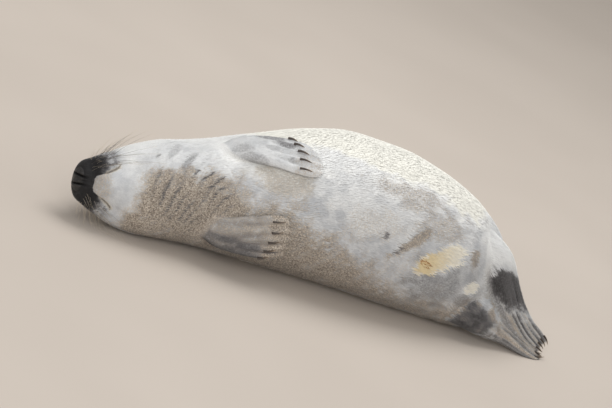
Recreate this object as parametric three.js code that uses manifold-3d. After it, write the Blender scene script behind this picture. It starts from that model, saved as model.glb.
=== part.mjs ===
// A young grey seal at rest on its right side, life size, in millimetres.
// +Z is up, the floor is z = 0, the head points to -X and the belly faces -Y.
// The body is one smooth spindle, described by curves along its spine, and is
// parted by thin cuts into the pieces that a person would name. The origin is on
// the floor under the middle of the whole animal.
import * as THREE from "three";
import { mergeVertices } from "three/addons/utils/BufferGeometryUtils.js";
import Module from "manifold-3d";

const wasm = await Module();
wasm.setup();

// ---------------------------------------------------------------- dimensions
const GAP = 0.35; // clearance between neighbouring pieces
const SPINE_END = 975; // nose tip to the end of the rump, along the spine
const AROUND = 32; // facets round the body
const NOSE_ROUND = 15; // length over which the nose tip closes
const RUMP_ROUND = 46; // length over which the rump closes
const SQUARENESS = 2.12; // superellipse power of the body's sections

// Where the body is parted, measured along the spine from the nose tip.
const CUT_NECK = 186;
const CUT_CHEST = 300;
const CUT_BELLY = 480;
const CUT_RUMP = 735;

// Places on the head are [along the spine, aside to the left, above the spine].
const EYE_RADIUS = 19;
const EYE_AT = 78;
const EYE_ASIDE = 35.5;
const EYE_ABOVE = 37.5;
const NOSE_AT = [6, 0, 25];
const NOSE_RADII = [13, 15, 21];
const JAW_OUTLINE = [[8, -5.5], [64, -9], [96, -100], [8, -100]]; // [along, above]
const JAW_REACH = 110; // half the width of the block that bounds the lower jaw

const DIGITS = 5;
const DIGIT_PITCH = 0.4; // spacing of digits across a flipper, in half widths
const FORE_LENGTH = 180;
// How far along its limb each claw's root is, its length and its radius. Fore claws lie
// on the digits and the first is the longest; hind ones just pass the tips.
const FORE_CLAW = { root: 0.76, length: 30, radius: 2.6 };
const HIND_CLAW = { root: 0.95, length: 25, radius: 2.4 };
const CLAW_SUNK = 0.6; // depth of a fore claw's middle line in the skin at its root
const HIND_OUT = 3.5; // distance of a hind claw's root from its flipper's mid-plane

// Each curve is [distance from the nose, value]; the values are joined smoothly.
const halfWidth = curve([
  [0, 30], [14, 38.5], [30, 46.5], [46, 55], [62, 62], [80, 69], [100, 76], [125, 83],
  [150, 88], [186, 93], [225, 96], [290, 104], [380, 121], [480, 140], [575, 150],
  [665, 150], [760, 143], [840, 131], [905, 112], [945, 86], [975, 50],
]);
const jawHalfWidth = curve([
  [0, 30], [18, 27], [30, 29], [46, 34], [62, 42], [80, 54], [100, 69], [125, 83],
  [150, 90], [186, 93],
]);
const topLine = curve([
  [0, 41], [14, 49], [30, 54], [46, 58], [62, 63], [80, 69], [100, 75], [125, 82],
  [150, 86], [186, 90], [225, 94], [290, 104], [380, 124], [480, 142], [575, 151],
  [665, 149], [760, 133], [840, 105], [905, 72], [945, 48], [975, 30],
]);
const underLine = curve([
  [0, -2], [14, -4], [21, -7], [29, -25], [46, -34], [62, -40], [80, -47], [100, -55],
  [125, -65], [150, -75], [186, -85], [225, -94], [290, -108], [380, -129], [480, -145],
  [575, -154], [665, -153], [760, -141], [840, -121], [905, -84], [945, -58], [975, -38],
]);
const sectionCentre = curve([[0, 22], [14, 19], [34, 9], [62, 0], [975, 0]]);
const axisHeight = curve([
  [0, 90], [40, 86], [80, 83], [125, 85], [186, 90], [225, 93], [290, 100], [380, 113],
  [480, 131], [575, 141], [665, 141], [760, 134], [840, 121], [905, 104], [945, 95],
  [975, 88], [1250, 60],
]);
// The way the spine turns towards the belly side on the plan, and how far the
// belly is rolled up from facing sideways, both in degrees.
const turn = curve([
  [0, 19], [130, 20], [225, 17], [320, 12], [440, 6], [570, 1], [715, -2], [1250, -4],
]);
const roll = curve([[0, 18], [130, 18.5], [300, 17], [480, 14], [1250, 14]]);
// How far the head leans from the spine to its left; the muzzle leans to its right.
const lean = curve([[0, -9], [30, -7], [62, -4], [80, -3], [125, -2], [186, 0], [1250, 0]]);

// The rings of facets along each length of the body.
const HEAD_STOPS = [
  0.15, 1.6, 4.6, 9, 15, 21, 25, 29, 37, 49, 62, 76, 91, 107, 125, 145, 165, CUT_NECK - GAP,
];
const NECK_STOPS = stops(CUT_NECK, CUT_CHEST - GAP, 5);
const CHEST_STOPS = stops(CUT_CHEST, CUT_BELLY - GAP, 6);
const BELLY_STOPS = stops(CUT_BELLY, CUT_RUMP - GAP, 7);
const RUMP_STOPS = [CUT_RUMP, 773, 810, 845, 877, 905, 927, 944, 957, 966, 971.5, 974.3, 974.95];

// ------------------------------------------------------------------- helpers
function stops(from, to, rows) {
  return Array.from({ length: rows + 1 }, (_, row) => from + ((to - from) * row) / rows);
}

// A smooth curve through the points that never overshoots them.
function curve(points) {
  const slopes = points.slice(1).map(([s, v], i) => (v - points[i][1]) / (s - points[i][0]));
  const tangents = points.map((_, i) => {
    if (i === 0 || i === slopes.length) return slopes[Math.min(i, slopes.length - 1)];
    const [before, after] = [slopes[i - 1], slopes[i]];
    return before * after <= 0 ? 0 : (2 * before * after) / (before + after);
  });
  return (s) => {
    if (s <= points[0][0]) return points[0][1];
    const last = points.length - 1;
    if (s >= points[last][0]) return points[last][1];
    const i = points.findIndex(([start]) => start > s) - 1;
    const span = points[i + 1][0] - points[i][0];
    const t = (s - points[i][0]) / span;
    return (
      points[i][1] * (1 + 2 * t) * (1 - t) ** 2 + points[i + 1][1] * t * t * (3 - 2 * t) +
      span * (tangents[i] * t * (1 - t) ** 2 - tangents[i + 1] * t * t * (1 - t))
    );
  };
}

const UP = new THREE.Vector3(0, 0, 1);
const smooth = (low, high, x) => THREE.MathUtils.smoothstep(x, low, high);
const power = (x, p) => Math.sign(x) * Math.abs(x) ** p;

// The spine's own path on the plan: it follows the turn, in short steps.
const SPINE_STEP = 5;
const spinePlan = [new THREE.Vector2(0, 0)];
for (let s = 0; s < 1300; s += SPINE_STEP) {
  const angle = THREE.MathUtils.degToRad(turn(s + SPINE_STEP / 2));
  const stride = new THREE.Vector2(Math.cos(angle), Math.sin(angle)).multiplyScalar(SPINE_STEP);
  spinePlan.push(spinePlan.at(-1).clone().add(stride));
}

// The seal's own directions at a distance along the spine. bellySide is level, and
// left and back are the left side and the back after the body's roll.
function frameAt(s) {
  const step = THREE.MathUtils.clamp(s / SPINE_STEP, 0, spinePlan.length - 1.001);
  const plan = spinePlan[Math.floor(step)].clone().lerp(spinePlan[Math.floor(step) + 1], step % 1);
  const angle = THREE.MathUtils.degToRad(turn(s));
  const rolled = THREE.MathUtils.degToRad(roll(s));
  const bellySide = new THREE.Vector3(Math.sin(angle), -Math.cos(angle), 0);
  const [rise, tip] = [Math.cos(rolled), Math.sin(rolled)];
  const left = UP.clone().multiplyScalar(rise).addScaledVector(bellySide, -tip);
  return {
    centre: new THREE.Vector3(plan.x, plan.y, axisHeight(s)).addScaledVector(left, lean(s)),
    forward: new THREE.Vector3(-Math.cos(angle), -Math.sin(angle), 0),
    bellySide,
    left,
    back: bellySide.clone().multiplyScalar(-rise).addScaledVector(UP, -tip),
  };
}

function place(s, aside, above) {
  const { centre, left, back } = frameAt(s);
  return centre.addScaledVector(left, aside).addScaledVector(back, above);
}

// The body's surface: angle 0 is the left side, 90 degrees the back, -90 the belly.
// Ahead of the neck the section narrows below the mouth, which makes the lower jaw.
function bodyPoint(s, angle, outward = 0) {
  const nose = Math.min(1, s / NOSE_ROUND);
  const rump = Math.min(1, (SPINE_END - s) / RUMP_ROUND);
  const close = Math.sqrt(1 - (1 - nose) ** 2) * Math.sqrt(Math.max(0, 1 - (1 - rump) ** 2));
  const [c, d] = [Math.cos(angle), Math.sin(angle)];
  const middle = sectionCentre(s);
  const reach = d > 0 ? topLine(s) - middle : middle - underLine(s);
  const jaw = d < 0 && s < CUT_NECK ? smooth(0.12, 0.62, -d) : 0;
  const wide = halfWidth(s) * (1 - jaw) + jawHalfWidth(s) * jaw;
  const aside = wide * close * power(c, 2 / SQUARENESS) + outward * c;
  const above = middle + reach * close * power(d, 2 / SQUARENESS) + outward * d;
  return place(s, aside, above);
}

function ring(point, count = AROUND) {
  return Array.from({ length: count }, (_, i) => point(((i + 0.5) / count) * 2 * Math.PI));
}

// A closed mesh through rings of points; each end is capped flat across the ring.
function loft(rings) {
  const count = rings[0].length;
  const positions = rings.flat().flatMap((p) => [p.x, p.y, p.z]);
  const index = [];
  for (let r = 0; r + 1 < rings.length; r++)
    for (let i = 0; i < count; i++) {
      const [a, b] = [r * count + i, r * count + ((i + 1) % count)];
      index.push(a, b + count, b, a, a + count, b + count);
    }
  const cap = (first, flip) => {
    for (let i = 0; i < count / 2 - 1; i++) {
      const [a, b, c, d] = [i, i + 1, count - 2 - i, count - 1 - i].map((k) => first + k);
      const faces = b === c ? [a, b, d] : [a, b, c, a, c, d];
      index.push(...(flip ? faces.reverse() : faces));
    }
  };
  cap(0, false);
  cap((rings.length - 1) * count, true);
  const geometry = new THREE.BufferGeometry();
  geometry.setAttribute("position", new THREE.Float32BufferAttribute(positions, 3));
  return geometry.setIndex(index);
}

// The body between its first and last stops. Its underside is flat on the floor.
function bodyLoft(list) {
  const rest = (point) => point.setZ(Math.max(0, point.z));
  return loft(list.map((s) => ring((angle) => rest(bodyPoint(s, angle)))));
}

function solid(geometry) {
  const bare = geometry.clone();
  for (const name of Object.keys(bare.attributes)) if (name !== "position") bare.deleteAttribute(name);
  const merged = mergeVertices(bare, 1e-4);
  const mesh = new wasm.Mesh({
    numProp: 3,
    vertProperties: merged.attributes.position.array,
    triVerts: new Uint32Array(merged.index.array),
  });
  return new wasm.Manifold(mesh);
}

function geometryOf(manifold) {
  const { vertProperties, triVerts } = manifold.getMesh();
  const geometry = new THREE.BufferGeometry();
  geometry.setAttribute("position", new THREE.BufferAttribute(vertProperties, 3));
  return geometry.setIndex(new THREE.BufferAttribute(triVerts, 1));
}

// The largest piece of a cut solid, without the crumbs that a cut can leave.
const largest = (shape) => shape.decompose().reduce((a, b) => (b.volume() > a.volume() ? b : a));

// ---------------------------------------------------------------- materials
const surface = (color, roughness) => new THREE.MeshStandardMaterial({ color, roughness, metalness: 0 });
const silverCoat = surface(0xb9b8b4, 0.9);
const creamCoat = surface(0xe8e2d2, 0.9);
const flipperCoat = surface(0x8f8880, 0.9);
const noseLeather = surface(0x232120, 0.5);
const clawHorn = surface(0x3a302a, 0.45);
const eyeBall = surface(0x0d0a09, 0.08);

const seal = new THREE.Group();
function add(name, shape, material) {
  const mesh = new THREE.Mesh(shape.isBufferGeometry ? shape : geometryOf(shape), material);
  mesh.name = name;
  seal.add(mesh);
}

// --------------------------------------------------------------------- head
// A block that bounds the lower jaw: below the mouth line and ahead of the throat.
function jawBlock(margin) {
  const swell = [[-1, 1], [1, 1], [1, -1], [-1, -1]];
  const corner = (aside) => ([s, above], i) =>
    place(s + swell[i][0] * margin, aside, above + swell[i][1] * margin);
  return solid(loft([-JAW_REACH, JAW_REACH].map((aside) => JAW_OUTLINE.map(corner(aside)))));
}

// A ball at a place on the head, with radii along it, up its back and to its side.
function ball([s, aside, above], radii, margin, detail) {
  const { forward, back, left } = frameAt(s);
  const geometry = new THREE.IcosahedronGeometry(1, detail);
  geometry.scale(...radii.map((r) => r + margin));
  geometry.applyMatrix4(new THREE.Matrix4().makeBasis(forward.negate(), back, left));
  return geometry.translate(...place(s, aside, above).toArray());
}

const headWhole = solid(bodyLoft(HEAD_STOPS));
const noseBall = (margin) => solid(ball(NOSE_AT, NOSE_RADII, margin, 3));
const eye = (side, margin = 0) =>
  ball([EYE_AT, side * EYE_ASIDE, EYE_ABOVE], [EYE_RADIUS, EYE_RADIUS, EYE_RADIUS], margin, 2);

const skull = headWhole
  .subtract(jawBlock(GAP))
  .subtract(noseBall(GAP))
  .subtract(solid(eye(1, GAP)))
  .subtract(solid(eye(-1, GAP)));
add("head", skull, silverCoat);
add("lower_jaw", headWhole.intersect(jawBlock(0)), silverCoat);
add("nose", headWhole.intersect(noseBall(0)).subtract(jawBlock(GAP)), noseLeather);
add("left_eye", eye(1), eyeBall);
add("right_eye", eye(-1), eyeBall);

// -------------------------------------------------------------------- trunk
add("neck", bodyLoft(NECK_STOPS), silverCoat);
add("chest", bodyLoft(CHEST_STOPS), silverCoat);
add("belly", bodyLoft(BELLY_STOPS), creamCoat);
add("rump", bodyLoft(RUMP_STOPS), creamCoat);

// The whole trunk, a little larger, which the limbs are cut by.
const trunkStops = [...HEAD_STOPS.slice(12), ...NECK_STOPS, ...CHEST_STOPS, ...BELLY_STOPS, ...RUMP_STOPS];
const trunkCutter = solid(loft(trunkStops.map((s) => ring((angle) => bodyPoint(s, angle, GAP)))));

// ----------------------------------------------------------- shapes of limbs
// How far the digits swell a flipper at a place across it, from 0 to 1.
const ridge = (across) => 0.5 + 0.5 * Math.cos((2 * Math.PI * across) / DIGIT_PITCH);

// One ring of a limb: a flattened section with digits raised on its broad faces.
// at(across, out) gives the point, with out measured from the limb's mid-plane.
function limbRing(limb, t, margin, at) {
  return ring((theta) => {
    const across = power(Math.cos(theta), limb.fullness) * (1 + margin / limb.halfWidth(t));
    const digit = 1 + limb.digits * smooth(0.42, 0.78, t) * (ridge(across) - 0.5);
    const out = power(Math.sin(theta), limb.fullness) * (limb.thickness(t) * digit + margin);
    const point = at(across, out);
    return point.setZ(Math.max(margin ? -1 : 0, point.z));
  }, limb.around);
}

// How far a limb's broad face lies from its mid-plane on a digit.
function faceAt(limb, t, across) {
  const inward = Math.abs(across) ** (1 / limb.fullness);
  const height = power(Math.sqrt(1 - inward * inward), limb.fullness);
  return height * limb.thickness(t) * (1 + 0.5 * limb.digits);
}

// A claw: a tapering, slightly hooked cone.
function claw(root, along, outward, length, radius) {
  const side = along.clone().cross(outward).normalize();
  const rings = [0, 0.5, 1].map((t) => {
    const arch = length * 0.12 * (1 - (2 * t - 0.6) ** 2);
    const middle = root.clone().addScaledVector(along, length * t).addScaledVector(outward, arch);
    const r = radius * (1 - 0.85 * t ** 1.4);
    const rim = (a) => middle.clone().addScaledVector(side, 0.8 * r * Math.cos(a))
      .addScaledVector(outward, r * Math.sin(a));
    return ring(rim, 6);
  });
  return solid(loft(rings));
}

// ------------------------------------------------------------ fore flippers
// A fore flipper lies back along the chest: its root is at a distance along the spine
// and an angle round the body that sweeps by some degrees to its tip, and it is lifted
// clear of the surface.
const FORE_ROWS = [0, 0.12, 0.24, 0.36, 0.48, 0.6, 0.7, 0.79, 0.87, 0.94, 0.98, 1];
const foreShape = {
  halfWidth: curve([[0, 26], [0.25, 31], [0.5, 39], [0.78, 43], [0.93, 41], [1, 37]]),
  thickness: curve([[0, 20], [0.25, 15], [0.5, 10], [0.78, 7.5], [0.93, 5.5], [1, 2.2]]),
  lift: curve([[0, -34], [0.16, -10], [0.32, 5], [0.6, 9], [1, 8]]),
  fullness: 0.8,
  digits: 0.3,
  around: 28,
};
const foreLimbs = {
  left: { ...foreShape, root: 260, angle: -20, sweep: -25, ahead: 9, thumb: -1, stand: 0 },
  right: { ...foreShape, root: 230, angle: -126, sweep: 16, ahead: -9, thumb: 1, stand: 12 },
};

// The digits lead the flipper's hind edge, and so does one side of it.
const foreLead = (limb, across) => limb.ahead * across - 10 * across * across + 6 * ridge(across);

function forePoint(limb, t, across, out) {
  const s = limb.root + t * (FORE_LENGTH + t * t * foreLead(limb, across));
  const turned = (limb.thumb * across * limb.halfWidth(t)) / topLine(s);
  const stand = limb.stand * smooth(0.1, 0.9, t) * (0.5 - 0.5 * across);
  const middle = THREE.MathUtils.degToRad(limb.angle + limb.sweep * t);
  return bodyPoint(s, middle + turned, limb.lift(t) + stand + out);
}

function foreFlipper(limb, margin = 0) {
  const rings = FORE_ROWS.map((t) => {
    const end = t === 1 ? margin / FORE_LENGTH : 0;
    return limbRing(limb, t, margin, (across, out) => forePoint(limb, t + end, across, out));
  });
  return solid(loft(limb.thumb > 0 ? rings.map((points) => points.reverse()) : rings));
}

for (const [side, limb] of Object.entries(foreLimbs)) {
  const cutter = foreFlipper(limb, GAP);
  add(`${side}_fore_flipper`, foreFlipper(limb).subtract(trunkCutter), flipperCoat);
  for (let k = 0; k < DIGITS; k++) {
    const across = DIGIT_PITCH * (2 - k);
    const { root: start, length, radius } = FORE_CLAW;
    const on = (t, lift) => forePoint(limb, t, across, faceAt(limb, t, across) + lift);
    const root = on(start, -CLAW_SUNK);
    const outward = on(start, 10).sub(root).normalize();
    const nail = claw(root, on(0.95, CLAW_SUNK).sub(root).normalize(), outward, length - 1.5 * k, radius);
    add(`${side}_fore_claw_${k + 1}`, largest(nail.subtract(cutter)), clawHorn);
  }
}

// --------------------------------------------------- hind flippers and tail
// A blade follows a path from inside the rump to the middle of its hind edge, where
// t runs from 0 to 1. Each stop of the path is [along the spine, towards the belly
// side, height], and the blade's broad face is tilted from level by some degrees.
const BLADE_ROWS = [0, 0.1, 0.2, 0.3, 0.4, 0.5, 0.6, 0.7, 0.8, 0.89, 0.96, 1];
const hindShape = {
  // The two outer digits are the longest, so the hind edge is hollow.
  lead: (across) => 10 * across * across + 5 * ridge(across),
  fullness: 0.85,
  digits: 0.35,
  around: 26,
};
const leftHind = {
  ...hindShape,
  halfWidth: curve([[0, 50], [0.2, 42], [0.45, 37], [0.6, 32], [0.78, 28], [0.92, 26], [1, 20]]),
  thickness: curve([[0, 48], [0.25, 36], [0.45, 24], [0.6, 16], [0.78, 11], [0.92, 7], [1, 2.4]]),
  tilt: 62,
  line: spinePath([
    [858, 34, 172], [909, 45, 156], [950, 49, 121], [993, 48, 83], [1043, 47, 46], [1090, 43, 23],
  ]),
};
const rightHind = {
  ...hindShape,
  halfWidth: curve([[0, 52], [0.25, 47], [0.45, 38], [0.6, 32], [0.78, 31], [0.92, 28], [1, 20]]),
  thickness: curve([[0, 50], [0.25, 41], [0.45, 27], [0.6, 17], [0.78, 11], [0.92, 7], [1, 2.4]]),
  tilt: 32,
  line: spinePath([
    [850, 56, 68], [902, 60, 62], [952, 59, 45], [1004, 54, 31], [1050, 52, 19], [1086, 50, 10],
  ]),
};
const tailBlade = {
  halfWidth: curve([[0, 22], [0.4, 19], [0.75, 16], [1, 5]]),
  thickness: curve([[0, 13], [0.4, 10], [0.75, 7], [1, 2.4]]),
  lead: () => 0,
  fullness: 0.85,
  digits: 0,
  around: 14,
  tilt: 84,
  line: spinePath([[925, -10, 98], [972, -15, 94], [1006, -15, 86], [1038, -11, 76]]),
};

function spinePath(list) {
  const places = list.map(([s, towardsBelly, height]) => {
    const { centre, bellySide } = frameAt(s);
    return centre.addScaledVector(bellySide, towardsBelly).setZ(height);
  });
  return new THREE.CatmullRomCurve3(places, false, "centripetal");
}

function bladePoint(blade, t, across, out) {
  const along = blade.line.getTangent(t);
  const tilt = THREE.MathUtils.degToRad(blade.tilt);
  const aim = frameAt(1000).bellySide.multiplyScalar(Math.cos(tilt)).addScaledVector(UP, -Math.sin(tilt));
  const side = aim.addScaledVector(along, -aim.dot(along)).normalize();
  const face = side.clone().cross(along);
  const point = blade.line.getPoint(t).addScaledVector(side, across * blade.halfWidth(t));
  return point.addScaledVector(face, out).addScaledVector(along, t ** 3 * blade.lead(across));
}

function bladeSolid(blade, margin = 0) {
  const rings = BLADE_ROWS.map((t) => {
    const past = blade.line.getTangent(1).multiplyScalar(t === 1 ? margin : 0);
    return limbRing(blade, t, margin, (across, out) => bladePoint(blade, t, across, out).add(past));
  });
  return solid(loft(rings));
}

const rightClear = bladeSolid(rightHind, 3 * GAP);
const hindClear = bladeSolid(leftHind, 3 * GAP).add(rightClear);
const outside = (blade) => bladeSolid(blade).subtract(trunkCutter);
add("left_hind_flipper", largest(outside(leftHind).subtract(rightClear)), flipperCoat);
add("right_hind_flipper", largest(outside(rightHind)), flipperCoat);
add("tail", largest(outside(tailBlade).subtract(hindClear)), flipperCoat);

const CLAW_FLOOR = 6; // the least height of a hind claw's root
for (const [side, blade, face] of [["left", leftHind, 1], ["right", rightHind, -1]])
  for (let k = 0; k < DIGITS; k++) {
    const across = DIGIT_PITCH * (2 - k);
    const { root: start, length, radius } = HIND_CLAW;
    const [root, ahead] = [start, 1].map((t) => bladePoint(blade, t, across, face * HIND_OUT));
    const along = ahead.sub(root).normalize();
    const outward = bladePoint(blade, start, across, 4 * face * HIND_OUT).sub(root).normalize();
    root.setZ(Math.max(root.z, CLAW_FLOOR));
    const nail = claw(root, along, outward, length, radius);
    add(`${side}_hind_claw_${k + 1}`, largest(nail.subtract(hindClear)), clawHorn);
  }

const box = new THREE.Box3().setFromObject(seal);
const middle = box.getCenter(new THREE.Vector3());
seal.position.set(-middle.x, -middle.y, -box.min.z);
seal.updateMatrixWorld(true);
export default seal;
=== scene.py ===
"""A grey seal pup in moult, asleep on its right side: its looks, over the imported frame.

The skin repeats the solids' spine and limb functions on finer grids and lies inside
them by the depth of the coat. Folds, lips, lids, nostrils and digits are added along
its normals. Fur is solid tufts that follow the same functions. Shapes are worked out
in millimetres and go into the meshes in metres.
"""

import bpy
import numpy as np
from mathutils import Matrix, Vector


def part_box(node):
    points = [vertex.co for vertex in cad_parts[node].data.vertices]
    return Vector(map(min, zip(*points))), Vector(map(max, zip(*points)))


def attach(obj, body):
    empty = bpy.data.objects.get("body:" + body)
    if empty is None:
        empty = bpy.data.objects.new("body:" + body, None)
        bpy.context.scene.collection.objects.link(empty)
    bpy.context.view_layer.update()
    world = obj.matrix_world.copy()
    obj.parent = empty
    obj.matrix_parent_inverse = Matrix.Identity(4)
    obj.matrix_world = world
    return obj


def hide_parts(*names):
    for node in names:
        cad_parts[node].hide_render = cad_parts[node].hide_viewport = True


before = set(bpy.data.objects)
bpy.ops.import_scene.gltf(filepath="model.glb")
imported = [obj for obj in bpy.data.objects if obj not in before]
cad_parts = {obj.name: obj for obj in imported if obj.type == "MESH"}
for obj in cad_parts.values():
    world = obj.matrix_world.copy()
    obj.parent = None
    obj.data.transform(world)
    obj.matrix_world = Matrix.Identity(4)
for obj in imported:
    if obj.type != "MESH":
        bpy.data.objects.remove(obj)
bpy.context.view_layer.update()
MM = 0.001
SEED = 20
UP = np.array([0.0, 0.0, 1.0])


# ------------------------------------------------------------------ the solids' shapes
def curve(points):
    """A smooth curve through (distance, value) points that never overshoots: cubic pieces
    whose slope at each point is the harmonic mean of the slopes on its two sides."""
    at, values = np.array(points, float).T
    slopes = np.diff(values) / np.diff(at)
    both = slopes[:-1] * slopes[1:]
    inner = np.where(both > 0, 2 * both / np.where(both > 0, slopes[:-1] + slopes[1:], 1), 0)
    tangents = np.concatenate([slopes[:1], inner, slopes[-1:]])

    def value(s):
        s = np.clip(s, at[0], at[-1])
        i = np.clip(np.searchsorted(at, s, side="right") - 1, 0, len(at) - 2)
        span = at[i + 1] - at[i]
        t = (s - at[i]) / span
        return (
            values[i] * (1 + 2 * t) * (1 - t) ** 2 + values[i + 1] * t * t * (3 - 2 * t)
            + span * (tangents[i] * t * (1 - t) ** 2 - tangents[i + 1] * t * t * (1 - t))
        )

    return value


def smooth(low, high, x):
    """The smooth step from 0 at low to 1 at high: 3 t squared less 2 t cubed."""
    t = np.clip((x - low) / (high - low), 0, 1)
    return t * t * (3 - 2 * t)


def power(x, p):
    """The size of x to the power p, with the sign of x."""
    return np.sign(x) * np.abs(x) ** p


def unit(v):
    """Each vector over its own length."""
    return v / np.maximum(np.linalg.norm(v, axis=-1, keepdims=True), 1e-9)


def hump(x, width):
    """A bell of height 1: e to the minus x over width, squared."""
    return np.exp(-((x / width) ** 2))


SPINE_END = 975
NOSE_ROUND = 15
RUMP_ROUND = 46
SQUARENESS = 2.12
NECK_START = 186
STEP = 5
half_width = curve([
    (0, 30), (14, 38.5), (30, 46.5), (46, 55), (62, 62), (80, 69), (100, 76), (125, 83), (150, 88),
    (186, 93), (225, 96), (290, 104), (380, 121), (480, 140), (575, 150), (665, 150), (760, 143),
    (840, 131), (905, 112), (945, 86), (975, 50),
])
jaw_half_width = curve([
    (0, 30), (18, 27), (30, 29), (46, 34), (62, 42), (80, 54), (100, 69), (125, 83), (150, 90),
    (186, 93),
])
top_line = curve([
    (0, 41), (14, 49), (30, 54), (46, 58), (62, 63), (80, 69), (100, 75), (125, 82), (150, 86),
    (186, 90), (225, 94), (290, 104), (380, 124), (480, 142), (575, 151), (665, 149), (760, 133),
    (840, 105), (905, 72), (945, 48), (975, 30),
])
under_line = curve([
    (0, -2), (14, -4), (21, -7), (29, -25), (46, -34), (62, -40), (80, -47), (100, -55),
    (125, -65), (150, -75), (186, -85), (225, -94), (290, -108), (380, -129), (480, -145),
    (575, -154), (665, -153), (760, -141), (840, -121), (905, -84), (945, -58), (975, -38),
])
section_centre = curve([(0, 22), (14, 19), (34, 9), (62, 0), (975, 0)])
axis_height = curve([
    (0, 90), (40, 86), (80, 83), (125, 85), (186, 90), (225, 93), (290, 100), (380, 113),
    (480, 131), (575, 141), (665, 141), (760, 134), (840, 121), (905, 104), (945, 95), (975, 88),
    (1250, 60),
])
turn = curve([
    (0, 19), (130, 20), (225, 17), (320, 12), (440, 6), (570, 1), (715, -2), (1250, -4),
])
roll = curve([(0, 18), (130, 18.5), (300, 17), (480, 14), (1250, 14)])
lean = curve([(0, -9), (30, -7), (62, -4), (80, -3), (125, -2), (186, 0), (1250, 0)])

stride = np.radians(turn(np.arange(0, 1300, STEP) + STEP / 2))
spine_plan = STEP * np.cumsum(np.stack([np.cos(stride), np.sin(stride)], 1), 0)
spine_plan = np.concatenate([[[0, 0]], spine_plan])


def spine(s):
    """The spine's centre, belly side, left and back at a distance from the nose: the plan
    follows the turn in short steps, left and back are rolled about it, and the head leans."""
    s = np.asarray(s, float)
    step = np.clip(s / STEP, 0, len(spine_plan) - 1.001)
    low = step.astype(int)
    part = (step - low)[..., None]
    plan = spine_plan[low] * (1 - part) + spine_plan[low + 1] * part
    centre = np.concatenate([plan, axis_height(s)[..., None]], -1)
    heading, rolled = np.radians(turn(s)), np.radians(roll(s))
    belly_side = np.stack([np.sin(heading), -np.cos(heading), np.zeros_like(s)], -1)
    rise, tip = np.cos(rolled)[..., None], np.sin(rolled)[..., None]
    left = UP * rise - belly_side * tip
    centre = centre + left * lean(s)[..., None]
    return centre, belly_side, left, -belly_side * rise - UP * tip


def place(s, aside, above):
    """A point at a distance from the nose, aside to the left and above towards the back."""
    centre, _, left, back = spine(s)
    return centre + left * np.asarray(aside)[..., None] + back * np.asarray(above)[..., None]


def upright(s, upper):
    """The middle of the outline at s, and its reach above it where upper, below it if not."""
    middle = section_centre(s)
    return middle, np.where(upper, top_line(s) - middle, middle - under_line(s))


def wide_at(s, d):
    """The half width at s and the sine of an angle: it narrows to the jaw's half width
    below the mouth, ahead of the neck."""
    jaw = np.where((d < 0) & (s < NECK_START), smooth(0.12, 0.62, -d), 0)
    return half_width(s) * (1 - jaw) + jaw_half_width(s) * jaw


def section(s, angle):
    """The body's outline at s, as distances aside and above: a superellipse that closes as
    a quarter circle at nose and rump."""
    nose = np.minimum(1, s / NOSE_ROUND)
    rump = np.minimum(1, (SPINE_END - s) / RUMP_ROUND)
    close = np.sqrt(np.maximum(0, 1 - (1 - nose) ** 2) * np.maximum(0, 1 - (1 - rump) ** 2))
    c, d = np.cos(angle), np.sin(angle)
    middle, reach = upright(s, d > 0)
    aside = wide_at(s, d) * close * power(c, 2 / SQUARENESS)
    return aside, middle + reach * close * power(d, 2 / SQUARENESS)


def body_point(s, angle, outward=0):
    """The solids' surface: angle 0 is the left side, 90 degrees the back, -90 the belly."""
    aside, above = section(s, angle)
    return place(s, aside + outward * np.cos(angle), above + outward * np.sin(angle))


# The fore flippers lie back along the chest, and the hind flippers and tail are blades
# that follow a path from inside the rump to the middle of their hind edge.
DIGITS = 5
DIGIT_PITCH = 0.4
FORE_LENGTH = 180


def ridge(across):
    """1 over each digit and 0 between two: a raised cosine across the flipper."""
    return 0.5 + 0.5 * np.cos(2 * np.pi * across / DIGIT_PITCH)


def spine_path(stops):
    """A centripetal Catmull-Rom path through [along the spine, towards the belly, height]:
    t runs evenly over the stops, and each piece is a cubic with the ends' spaced tangents."""
    s, towards, height = np.array(stops, float).T
    centre, belly_side, _, _ = spine(s)
    at = centre + belly_side * towards[:, None]
    at[:, 2] = height
    at = np.concatenate([[2 * at[0] - at[1]], at, [2 * at[-1] - at[-2]]])
    gaps = np.linalg.norm(np.diff(at, axis=0), axis=1) ** 0.5

    def point(t):
        where = np.clip(np.asarray(t, float), 0, 1) * (len(stops) - 1)
        i = np.minimum(where.astype(int), len(stops) - 2)
        u = (where - i)[..., None]
        before, here, after = (gaps[i + k][..., None] for k in range(3))
        p0, p1, p2, p3 = (at[i + k] for k in range(4))
        start = (p1 - p0) / before - (p2 - p0) / (before + here) + (p2 - p1) / here
        end = (p2 - p1) / here - (p3 - p1) / (here + after) + (p3 - p2) / after
        start, end = start * here, end * here
        return (
            p1 + start * u + (3 * (p2 - p1) - 2 * start - end) * u ** 2
            + (2 * (p1 - p2) + start + end) * u ** 3
        )

    return point


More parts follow.
